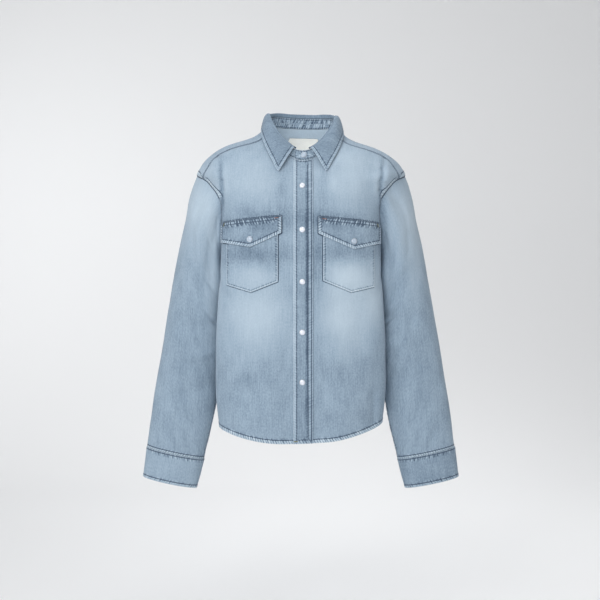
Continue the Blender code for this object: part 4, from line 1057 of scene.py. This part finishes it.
# %% Sleeve tables
SLEEVE_FOLDS = {
    "left": fold_table(
        (0.17, 0.07, 0.19, 0.4, -0.0045, 0.014), (0.29, 0.05, 0.25, 0.33, 0.003, 0.016),
        (0.1, 0.47, 0.27, 0.56, -0.0045, 0.014), (0.07, 0.58, 0.22, 0.62, 0.0035, 0.014),
        (0.12, 0.7, 0.36, 0.78, -0.003, 0.014), (0.8, 0.08, 0.82, 0.38, -0.005, 0.016),
        (0.66, 0.45, 0.92, 0.52, -0.005, 0.014), (0.64, 0.55, 0.88, 0.6, 0.004, 0.014),
        (0.6, 0.9, 0.78, 0.84, -0.003, 0.012)),
    "right": fold_table(
        (0.2, 0.06, 0.18, 0.34, -0.0035, 0.015), (0.31, 0.07, 0.27, 0.3, 0.003, 0.016),
        (0.09, 0.5, 0.3, 0.6, -0.0045, 0.015), (0.08, 0.61, 0.2, 0.66, 0.0035, 0.013),
        (0.15, 0.76, 0.4, 0.84, -0.003, 0.014), (0.81, 0.07, 0.79, 0.36, -0.005, 0.016),
        (0.68, 0.47, 0.9, 0.55, -0.005, 0.014), (0.62, 0.57, 0.9, 0.63, 0.004, 0.014),
        (0.62, 0.88, 0.8, 0.82, -0.003, 0.012))
}
SLEEVE_CREASES = fold_table(
    (0.22, 0.16, 0.21, 0.42, -0.0013, 0.007), (0.36, 0.1, 0.31, 0.3, -0.001, 0.009),
    (0.1, 0.52, 0.2, 0.49, -0.0016, 0.006), (0.14, 0.66, 0.27, 0.7, -0.0014, 0.007),
    (0.2, 0.86, 0.38, 0.9, -0.0012, 0.007), (0.3, 0.93, 0.26, 0.99, -0.0012, 0.006),
    (0.7, 0.5, 0.86, 0.46, -0.0022, 0.007), (0.72, 0.6, 0.88, 0.57, -0.002, 0.007),
    (0.68, 0.92, 0.72, 0.99, -0.0018, 0.006), (0.8, 0.93, 0.79, 0.99, -0.0018, 0.006))
SLEEVE_COLUMNS, SLEEVE_ROWS = 141, 196
SLEEVE_GIRTH, SLEEVE_LENGTH = 0.42, 0.62      # of the flat cloth
ARMHOLE_REACH = 0.22               # the share of the sleeve over which the armhole's curve turns into ovals
SHOWN_SHARES = (0.28, 0.60)        # the stretch of the armhole whose seam shows as a line
SLEEVE = table(
    "along outer_x outer_z inner_x inner_z half_depth middle_y",
    (0, 0.227, -0.0858, 0.152, -0.262, 0.072, 0), (0.07, 0.2362, -0.1105, 0.159, -0.279, 0.071, 0),
    (0.14, 0.244, -0.136, 0.162, -0.296, 0.069, 0), (0.24, 0.2525, -0.182, 0.164, -0.325, 0.066, 0),
    (0.36, 0.2665, -0.245, 0.166, -0.365, 0.061, -0.001), (0.5, 0.282, -0.33, 0.168, -0.41, 0.055, -0.003),
    (0.66, 0.3025, -0.452, 0.174, -0.492, 0.047, -0.006), (0.83, 0.322, -0.57, 0.189, -0.602, 0.038, -0.009),
    (1, 0.336, -0.676, 0.2115, -0.7025, 0.029, -0.012))
CUFF = table(
    "along outer_x outer_z inner_x inner_z half_depth middle_y",
    (0, 0.337, -0.6763, 0.2105, -0.7028, 0.029, -0.012), (1, 0.345, -0.741, 0.227, -0.766, 0.0265, -0.012))


def sleeve_section(shape, around, along):
    """A point of a sleeve or cuff tube, on the wearer's left. Around runs from the inner edge to the front."""
    at = {name: smooth(shape["along"], shape[name], along) for name in shape}
    angle = 2 * math.pi * around
    out = 0.5 - 0.5 * np.cos(angle)
    x = at["inner_x"] + (at["outer_x"] - at["inner_x"]) * out
    z = at["inner_z"] + (at["outer_z"] - at["inner_z"]) * out
    y = at["middle_y"] - at["half_depth"] * np.sin(angle)
    return np.stack(np.broadcast_arrays(x, y, z), axis=-1)


print("the sleeve is", round(1000 * float(SLEEVE["outer_z"][0] - SLEEVE["outer_z"][-1])), "mm from top to end")


# %% Sleeves
def sleeve(side):
    """One sleeve, from the armhole to the cuff."""
    sign = SIDES[side]
    turned = np.array([sign, 1.0, 1.0])
    shares, along = np.linspace(0, 1, SLEEVE_COLUMNS), np.linspace(0, 1, SLEEVE_ROWS)
    turns, levels = armhole_loop(shares)
    start = sleeve_section(SLEEVE, shares, 0.0) * turned
    fade = eased(1 - along / ARMHOLE_REACH, 0, 1)[:, None, None]
    rings = sleeve_section(SLEEVE, shares[None, :], along[:, None]) * turned
    rings = rings + fade * (torso(sign * turns, levels) - start)
    wide = np.concatenate([rings[:, -2:-1], rings, rings[:, 1:2]], axis=1)
    middle = rings[-1].mean(axis=0)
    normals = grid_normals(wide, middle)[0][:, 1:-1]
    grid = np.meshgrid(shares, along)
    tables = (SLEEVE_FOLDS[side], SLEEVE_CREASES)
    height = sum(folds(rows, *grid, 1.0, SLEEVE_GIRTH, SLEEVE_LENGTH) for rows in tables)
    height = height + 0.0010 * soft_noise(grid[0] * 10, grid[1] * 9, 21 + sign, 10)
    height = height + 0.0003 * soft_noise(grid[0] * 30, grid[1] * 26, 22 + sign, 30)
    height = height * np.minimum(along / 0.06, 1)[:, None] * np.minimum((1 - along) / 0.03, 1)[:, None]
    seams = [seam("first_column", LAPPED_ROWS, 0.8, 0.0005),
             seam("last_column", (), 0.4, 0.0),
             seam(("first_row", 0, SHOWN_SHARES[0]), (), 0.1, 0.0, 0.0),
             # a painted shadow line in the gap of the armhole seam, with no thread
             seam(("first_row", *SHOWN_SHARES), (0.0005,), 0.5, 0.0, 0.4, 0.8, sewn=False),
             seam(("first_row", SHOWN_SHARES[1], 1), (), 0.5, 0.0),
             seam("last_row", (0.0050,), 0.9, 0.0, 0.9, 0.85)]
    cloth(f"sleeve_{side}", rings + normals * height[..., None], seams, centre=middle)


for side in SIDES:
    sleeve(side)

# %% Cuffs
CUFF_SNAP_AROUND, CUFF_LAP = 0.70, 0.04
CUFF_LIFT = BAND + 0.0004
CUFF_COLUMNS, CUFF_ROWS = 130, 30
# painted light on the cuff on the viewer's left and painted shade on the one on the right, as the key light falls
# from the left
CUFF_PAINTED_SHADING = {"right": 0.04, "left": -0.05}


def cuff_point(around, along, sign):
    """A point of a cuff, whose last stretch lies over its first."""
    base = sleeve_section(CUFF, around, along)
    away = unit(base - sleeve_section(CUFF, around + 0.5, along))
    lift = CUFF_LIFT * eased(around - (CUFF_SNAP_AROUND - CUFF_LAP + 0.90), 0, 0.08)
    return (base + away * np.asarray(lift)[..., None]) * np.array([sign, 1, 1])


def cuff(side):
    """A cuff: a folded band round the end of the sleeve."""
    sign = SIDES[side]
    first, last = CUFF_SNAP_AROUND - CUFF_LAP, 1 + CUFF_SNAP_AROUND + CUFF_LAP
    shares, along = np.meshgrid(np.linspace(first, last, CUFF_COLUMNS), np.linspace(1, 0, CUFF_ROWS))
    points = cuff_point(shares, along, sign)
    slow = soft_noise(shares * 9, along * 2, 31 + sign)
    points = points + grid_normals(points, points[-1].mean(axis=0))[0] * 0.0005 * slow[..., None]
    seams = [seam("last_row", (0.0026,), 1.1, 0.0002, 0.3, 1.0, 0.009),
             seam(["first_column", "first_row", "last_column"], (0.0062,), 1.2, 0.0003, 0.6, 0.66)]
    cloth(f"cuff_{side}", points, seams, BAND, centre=points[-1].mean(axis=0), tone=CUFF_PAINTED_SHADING[side],
          rounded=("first_row", "first_column", "last_column"))


for side in SIDES:
    cuff(side)

# %% [markdown]
# ## Front band, pockets and flaps
#
# These lie on the fronts, so their points are taken from the fronts and moved out by the thickness below them.
# A flap is sewn along its top, then lifts to clear the pocket. The pocket lies flat with its foot in a point.

# %% What lies on the fronts
PLACKET_EDGES, PLACKET_TOP_LEVEL, PLACKET_GAP, PATCH_GAP = (-0.0153, 0.0253), 0.0178, 0.0005, 0.0007
FLAP_THICKNESS, FLAP_FLARE = 0.0016, 0.0008
PLACKET_COLUMNS, POCKET_COLUMNS, POCKET_ROWS, FLAP_COLUMNS = 26, 46, 62, 60
FREE_SIDES = ["first_column", "last_row", "last_column"]     # of a patch that is held along its top


def placket():
    """The front band, from the neck to the hem, over both fronts' edges."""
    levels = np.minimum(spaced(HEM_LEVEL, 0.0021, PLACKET_TOP_LEVEL), PLACKET_TOP_LEVEL)
    x, grid = np.meshgrid(np.linspace(*PLACKET_EDGES, PLACKET_COLUMNS), levels)
    turns = turn_at_x(x, grid)
    wander = 0.0004 * soft_noise(levels / 0.03, 0 * levels, 41)[:, None]
    points = torso(turns, grid) + torso_normal(turns, grid) * (PLACKET_GAP + BAND + wander)[..., None]
    seams = [seam("first_column", (0.0066,), 0.2, 0.0, 0.9),
             seam("last_column", (0.0034, 0.0104), 0.35, 0.0002, 0.4, 0.45),
             seam("first_row", HEM_ROWS, 0.9, 0.0), seam("last_row", (0.0030,), 0.7, 0.0)]
    cloth("placket", points, seams, BAND, rounded=("first_column", "last_column", "first_row"), tone=-0.06,
          grain=patch_grain)


def pointed(shape, columns, rows):
    """x and z of a grid over a shape with a level top and a pointed foot. Columns share the point."""
    inner, outer = shape["inner_x"], shape["outer_x"]
    tip = (shape["tip_x"] - inner) / (outer - inner)
    near = columns // 2
    share = np.concatenate([np.linspace(0, tip, near + 1), np.linspace(tip, 1, columns - near + 1)[1:]])
    foot = np.interp(share, [0, tip, 1], [shape["inner_z"], shape["tip_z"], shape["outer_z"]])
    top = np.interp(share, [0, 1], [shape["top_inner_z"], shape["top_outer_z"]])
    across, down = np.meshgrid(inner + (outer - inner) * share, rows)
    return across, top * (1 - down) + foot * down


def pocket(side):
    shape = POCKETS[side]
    x, z = pointed(shape, POCKET_COLUMNS, np.linspace(0, 1, POCKET_ROWS))
    belly = bell(x - (shape["inner_x"] + shape["outer_x"]) / 2, 0.04) * bell(z + 0.28, 0.04)
    cloth(f"pocket_{side}", on_front(x, z, PATCH_GAP + CLOTH + 0.0012 * belly),
          [seam(FREE_SIDES, (0.0036,), 0.5, 0.0003, 0.6, 0.24)], rounded=FREE_SIDES, grain=patch_grain)


def flap(side):
    rows = np.concatenate([np.linspace(0, 0.2, 8)[:-1], np.linspace(0.2, 1, 22)])
    x, z = pointed(FLAPS[side], FLAP_COLUMNS, rows)
    clear = np.clip((rows - 0.06) / 0.12, 0, 1)
    lift = PATCH_GAP + FLAP_THICKNESS + (CLOTH + PATCH_GAP + 0.0004) * clear + FLAP_FLARE * rows
    seams = [seam(FREE_SIDES, (0.0064,), 0.8, 0.0002, 1.0),
             seam("first_row", (0.0016, 0.0082), 1.5, 0.0002, 0.3, reach=0.009)]
    cloth(f"flap_{side}", on_front(x, z, lift[:, None]), seams, FLAP_THICKNESS, tone=-0.06, rounded=FREE_SIDES,
          grain=patch_grain)


placket()
for patch in (pocket, flap):
    for side in SIDES:
        patch(side)

# %% [markdown]
# ## Collar
#
# The collar is two pieces. The stand is a band round the neck whose rounded ends lap in front, and the fall is a
# folded leaf that goes up from the stand, over a tight roll and down to two points. Its sheet is made line by
# line from the stand over the roll to the edge.

# %% The stand
STAND_HEIGHT, STAND_GAP, STAND_LEAN = 0.0225, 0.0006, math.radians(14)
STAND_OVERLAP_TURN, STAND_UNDERLAP_TURN, STAND_LAP = 12.5, 8.5, 0.0013
STAND_END_DROP, STAND_END_TURN, COLLAR_SNAP_HEIGHT = 0.0115, 6.5, 0.0120
STAND_ROWS = 13


def stand_point(turn, height):
    """A point of the collar stand's outer face, a height up its slope from the neck seam."""
    foot = torso(turn, NECK_LEVEL)
    way = unit(foot * np.array([-1.0, -1.0, 0.0]))
    slope = way * math.sin(STAND_LEAN) + np.array([0, 0, math.cos(STAND_LEAN)])
    return foot + np.asarray(height, float)[..., None] * slope


def stand_surface(turn, height):
    """The same, moved out where the shown end laps over the other, and in at the other."""
    outward = unit(stand_point(turn, 0 * height) * np.array([1.0, 1.0, 0.0]))
    lap = STAND_LAP * (eased(40 - turn, 0, 30) - eased(turn - 320, 0, 30))
    return stand_point(turn, height) + outward * lap[..., None]


def collar_stand():
    first, last = -STAND_OVERLAP_TURN, 360 + STAND_UNDERLAP_TURN
    turns = spaced(first, 0.35, first + 7, 1.4, last - 7, 0.35, last)
    run = np.clip(np.minimum(turns - first, last - turns) / STAND_END_TURN, 0, 1)
    top = STAND_HEIGHT - STAND_END_DROP * (1 - np.sqrt(1 - (1 - run) ** 2))
    heights = np.linspace(0, 1, STAND_ROWS)[:, None] * (top - STAND_GAP) + STAND_GAP
    seams = [seam(["first_row", "last_column", "last_row", "first_column"], (0.0018,), 1.0, 0.0, 0.6, reach=0.014)]
    cloth("collar_stand", stand_surface(turns, heights), seams, BAND, collar_denim, tone=0.13, fades_and_shading=False,
          rounded=("first_column", "last_column"), inner_rope=1.5, facing_out=True)


collar_stand()

# %% The fall
FALL = table(
    "roll_turn edge_turn edge_level rise",
    (10.5, 26.4, -0.0314, 0.0012), (11.5, 28.8, -0.0296, 0.0013), (12.5, 30.2, -0.0272, 0.0014),
    (17, 34.2, -0.0192, 0.0018), (27, 43, -0.0084, 0.0028), (40, 54.3, 0.0005, 0.0038), (62, 71, 0.0085, 0.005),
    (90, 90, 0.0135, 0.0058), (120, 120, 0.0115, 0.006), (180, 180, 0.005, 0.006))
FALL_LIFT, FALL_ASIDE, FALL_BOW, ROLL_RADIUS = 0.0045, 1.4, 0.005, 0.0034
LEAF_LINES = 30            # from the roll to the edge


def fall_lines(roll_turn):
    """Points down each line of the fall, from the stand's top over the roll to the outer edge."""
    sided = np.where(roll_turn > 180, 360 - roll_turn, roll_turn)
    sign = np.where(roll_turn > 180, -1.0, 1.0)
    at = {name: smooth(FALL["roll_turn"], FALL[name], sided) for name in FALL}
    height = np.full(len(roll_turn), STAND_HEIGHT + GAP)
    foot = stand_surface(roll_turn, height)
    up = unit(foot - stand_surface(roll_turn, height - 0.005))
    edge_turn = sign * at["edge_turn"] + FALL_ASIDE * np.cos(np.radians(at["edge_turn"]))
    away = torso_normal(edge_turn, at["edge_level"])
    edge = torso(edge_turn, at["edge_level"]) + away * FALL_LIFT
    out = square_to(edge - foot, up)
    rise = up * at["rise"][:, None]
    centre = foot + rise + out * (ROLL_RADIUS - BAND)
    lines = [foot, foot + rise / 2, foot + rise]
    for angle in np.radians([50, 70, 90, 110, 128]):
        lines.append(centre - out * ROLL_RADIUS * math.cos(angle) + up * ROLL_RADIUS * math.sin(angle))
    start = lines[-1]
    for share in np.linspace(0, 1, LEAF_LINES)[1:]:
        lines.append(start + (edge - start) * share + away * FALL_BOW * math.sin(math.pi * share ** 0.7))
    return np.array(lines)


def collar_fall():
    half = spaced(10.5, 0.25, 13, 0.6, 20, 1.0, 60, 2.0, 180)
    turns = np.concatenate([half, 360 - half[::-1][1:]])
    points = fall_lines(turns)
    line = np.arange(len(points))[:, None]
    wander = 0.0005 * soft_noise(turns[None, :] / 9, line / 9, 51) * np.clip((line - 8) / 6, 0, 1)
    points = points + grid_normals(points)[0] * wander[..., None]
    path = [("first_column", 0.25, 1), "last_row", ("last_column", 0.25, 1)]
    cloth("collar_fall", points, [seam(path, (0.0064,), 0.5, 0.0002, 0.7)], BAND, collar_denim, fades_and_shading=False,
          rounded=("first_column", "last_column", "last_row"), facing_out=True)


collar_fall()

# %% [markdown]
# ## Label
#
# A bare cream tape on the inside of the yoke, below the middle of the neck, turned under at its ends.

# %% Label
LABEL = dict(left=-0.0300, right=0.0400, top_level=-0.0070, bottom_level=-0.0480, thickness=0.0007, gap=0.0010)
LABEL_COLUMNS, LABEL_ROWS = 44, 26
BACK_DEPTH = 0.080         # how far behind the middle the label lies


def neck_label():
    x, levels = np.meshgrid(np.linspace(LABEL["right"], LABEL["left"], LABEL_COLUMNS),
                            np.linspace(LABEL["bottom_level"], LABEL["top_level"], LABEL_ROWS))
    turns = 180 - np.degrees(np.arctan2(x, BACK_DEPTH))
    points = torso(turns, levels) - torso_normal(turns, levels) * (CLOTH + LABEL["gap"])
    cloth("neck_label", points, [seam("last_row", (), 0.2, 0.0)], LABEL["thickness"], tape, fades_and_shading=False,
          rounded=("first_row", "last_row", "first_column", "last_column"), kind="tape")


neck_label()

# %% [markdown]
# ## Stitches
#
# Each stitch is a small bead of thread that dips into the cloth at both ends. One row could be a texture, but a
# row of real beads catches the light as thread does. A row is laid by stepping in from the seam's line over the
# surface, and all of a piece's stitches are joined into one mesh.

# %% Stitches
STITCH_PITCH, STITCH_LENGTH, THREAD_RADIUS = 0.0029, 0.0023, 0.00030
FEWEST_PLACES = 8          # a row with fewer has run off its piece
FULL_INSET = 0.93          # of a row's inset: a place nearer to the line has slid round a corner


def nearest(piece, goal):
    """The place on a piece's outer face that is nearest to a goal, and the normal there."""
    place, normal, _, _ = piece["tree"].find_nearest(Vector(goal))
    return np.array(place), np.array(normal)


def stitch_row(piece, one, inset):
    """Places, directions and normals along a row, inset from a seam's line."""
    inward = square_to(one["inner"] - one["line"], one["tangent"])
    tree = finder(one["line"])
    found = [nearest(piece, goal) for goal in one["line"] + inward * inset]
    found = [(place, normal) for place, normal in found if tree.find(place)[2] > FULL_INSET * inset]
    if len(found) < FEWEST_PLACES:
        return None
    places, normals = (np.array(values) for values in zip(*found))
    _, (places, normals) = resampled(places, STITCH_PITCH, normals)
    return places, unit(np.gradient(places, axis=0)), unit(normals)


def bead(length, radius):
    """A stitch's points and faces, lying along x, its ends dipping below the cloth."""
    ring = [(0, 1), (1, 0), (0, -1), (-1, 0)]
    points = [(-length / 2, 0, -radius)]
    for x, size, lift in ((-0.30, 0.85, 0.45), (0.0, 1.0, 0.75), (0.30, 0.85, 0.45)):
        points += [(x * length, radius * size * a, radius * (lift + size * 0.7 * b)) for a, b in ring]
    points.append((length / 2, 0, -radius))
    faces = [(0, 1 + (k + 1) % 4, 1 + k) for k in range(4)] + [(13, 9 + k, 9 + (k + 1) % 4) for k in range(4)]
    for low in (1, 5):
        for k in range(4):
            a, b = low + k, low + (k + 1) % 4
            faces += [(a, b, b + 4), (a, b + 4, a + 4)]
    return np.array(points), np.array(faces)


def stitches(name, rows, finish=thread, length=STITCH_LENGTH):
    """One mesh of every stitch in some rows of places, directions and normals."""
    places, along, normals = (np.concatenate([row[k] for row in rows]) for k in range(3))
    normals = square_to(normals, along)
    across = np.cross(normals, along)
    points, faces = bead(length, THREAD_RADIUS)
    slack = 1 + 0.12 * soft_noise(np.arange(len(places)) * 0.7, 0 * places[:, 0], 61)
    vertices = (places[:, None] + along[:, None] * points[None, :, :1] * slack[:, None, None]
                + across[:, None] * points[None, :, 1:2] + normals[:, None] * points[None, :, 2:])
    every = (faces[None] + (np.arange(len(places)) * len(points))[:, None, None]).reshape(-1, 3)
    made = shaped(name, vertices.reshape(-1, 3).tolist(), every.tolist(), finish)
    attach(made, "root")
    print(name, len(places), "stitches")


for node, piece in PIECES.items():
    rows = [stitch_row(piece, one, inset) for one in piece["seams"] if one["sewn"] for inset in one["rows"]]
    rows = [row for row in rows if row is not None]
    if rows:
        stitches(f"{node}_stitches", rows)

# %% [markdown]
# ## Bar tacks
#
# Where a seam takes strain, a short dense bar of thread is sewn across it: at the upper corners of the flaps and
# at the foot of the front band.

# %% Bar tacks
TACK_LENGTH, TACK_WIDTH, TACK_PITCH, TACK_LIFT = 0.0085, 0.0022, 0.00055, 0.0003


def bar_tack(name, piece, place, direction, finish):
    """A bar of close stitches, laid on a piece round a place."""
    place, normal = nearest(piece, place)
    direction = square_to(direction, normal)
    steps = np.arange(-TACK_LENGTH / 2, TACK_LENGTH / 2, TACK_PITCH)
    spots, normals = (np.array(values) for values in zip(*(nearest(piece, place + direction * s) for s in steps)))
    across = unit(np.cross(normals, direction))
    stitches(name, [(spots + normals * TACK_LIFT, across, normals)], finish, TACK_WIDTH)


for side in SIDES:
    piece = PIECES[f"flap_{side}"]
    grid = piece["points"]
    bar_tack(f"tack_{side}_inner", piece, grid[4, 5], grid[4, 12] - grid[4, 4], rust_thread)
    bar_tack(f"tack_{side}_outer", piece, grid[5, -4], grid[12, -4] - grid[4, -4], olive_thread)
grid = PIECES["placket"]["points"]
bar_tack("tack_band_foot", PIECES["placket"], grid[2, 3], grid[2, 8] - grid[2, 3], olive_thread)

# %% [markdown]
# ## Snaps
#
# A snap's cap is a pearl disc, domed and slightly hollow at the rim, held in a thin metal ring. Both are turned
# from a profile, as on a lathe, and joined as one piece.

# %% Snaps
SNAP_RADIUS, SNAP_HEIGHT, SNAP_CLEAR, CLOSURE_X = 0.0060, 0.0026, 0.0001, 0.0030
FRONT_SNAP_HEIGHTS = (-0.119, -0.211, -0.3187, -0.4233, -0.5268)
FLAP_SNAP_ABOVE_TIP = 0.0165
RING = ((1.0, 0.0), (1.02, 0.22), (0.99, 0.42), (0.93, 0.50), (0.87, 0.44))
CAP = ((0.87, 0.40), (0.84, 0.55), (0.76, 0.74), (0.60, 0.90), (0.40, 0.97), (0.20, 1.0))
SNAP_STEPS = 40


def lathe(profile, first):
    """A turned form: points ring by ring, and its faces. Its first point has the number first."""
    angles = np.linspace(0, 2 * math.pi, SNAP_STEPS, endpoint=False)
    points = [(SNAP_RADIUS * r * math.cos(a), SNAP_RADIUS * r * math.sin(a), SNAP_HEIGHT * h)
              for r, h in profile for a in angles]
    faces = [(low + a, low + (a + 1) % SNAP_STEPS, low + SNAP_STEPS + (a + 1) % SNAP_STEPS, low + SNAP_STEPS + a)
             for low in range(first, first + (len(profile) - 1) * SNAP_STEPS, SNAP_STEPS) for a in range(SNAP_STEPS)]
    return points, faces


def snap(node, piece, goal, finish=pearl):
    """A snap on a piece, where the goal is nearest to it."""
    ring_points, ring_faces = lathe(RING, 0)
    cap_points, cap_faces = lathe(CAP, len(ring_points))
    middle = len(ring_points) + len(cap_points)
    last = middle - SNAP_STEPS
    cap_faces += [(last + a, last + (a + 1) % SNAP_STEPS, middle) for a in range(SNAP_STEPS)]
    made = shaped(f"{node}_cap", ring_points + cap_points + [(0, 0, SNAP_HEIGHT)], ring_faces + cap_faces,
                  ring_metal, finish)
    made.data.polygons.foreach_set("material_index", [0] * len(ring_faces) + [1] * len(cap_faces))
    place, normal = nearest(piece, goal)
    made.location = place + normal * SNAP_CLEAR
    made.rotation_euler = Vector(normal).to_track_quat("Z", "Y").to_euler()
    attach(made, "root")
    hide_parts(node)


for k, height in enumerate(FRONT_SNAP_HEIGHTS):
    snap(f"snap_front_{k + 1}", PIECES["placket"], on_front(CLOSURE_X, height, PLACKET_GAP + BAND))
collar_turn = np.degrees(np.arctan2([CLOSURE_X], -torso(0.0, NECK_LEVEL)[1]))
snap("snap_collar", PIECES["collar_stand"], stand_surface(collar_turn, np.array([COLLAR_SNAP_HEIGHT]))[0], dull_pearl)
for side, shape in FLAPS.items():
    snap(f"snap_pocket_{side}", PIECES[f"flap_{side}"],
         on_front(shape["tip_x"], shape["tip_z"] + FLAP_SNAP_ABOVE_TIP, 0.005), dull_pearl)
for side, sign in SIDES.items():
    around, along = np.array([CUFF_SNAP_AROUND + 1]), np.array([0.5])
    goal, across = cuff_point(around, along, sign)[0], cuff_point(around + 0.5, along, sign)[0]
    snap(f"snap_cuff_{side}", PIECES[f"cuff_{side}"], goal + (goal - across) * 0.1)

# %% [markdown]
# ## What each sheet was cut to
#
# Each piece's cut is printed with its flat size and area. The cloth hardly stretches, so the area of the made
# piece has to be close to the area of the cut.


# %% Sheets
def flat_size(points):
    """The width and length of a sheet's cut, and its area."""
    across, up = run_along(points, 1).max(), run_along(points).max()
    a = points[1:, 1:] - points[:-1, :-1]
    b = points[1:, :-1] - points[:-1, 1:]
    return float(across), float(up), float(np.linalg.norm(np.cross(a, b), axis=2).sum() / 2)


for node, piece in PIECES.items():
    width, length, area = flat_size(piece["points"])
    width, length = round(width, 3), round(length, 3)
    area = round(min(area, width * length), 4)
    print(f"{node}: cut from {width:.3f} x {length:.3f} m, {area:.4f} square metres")
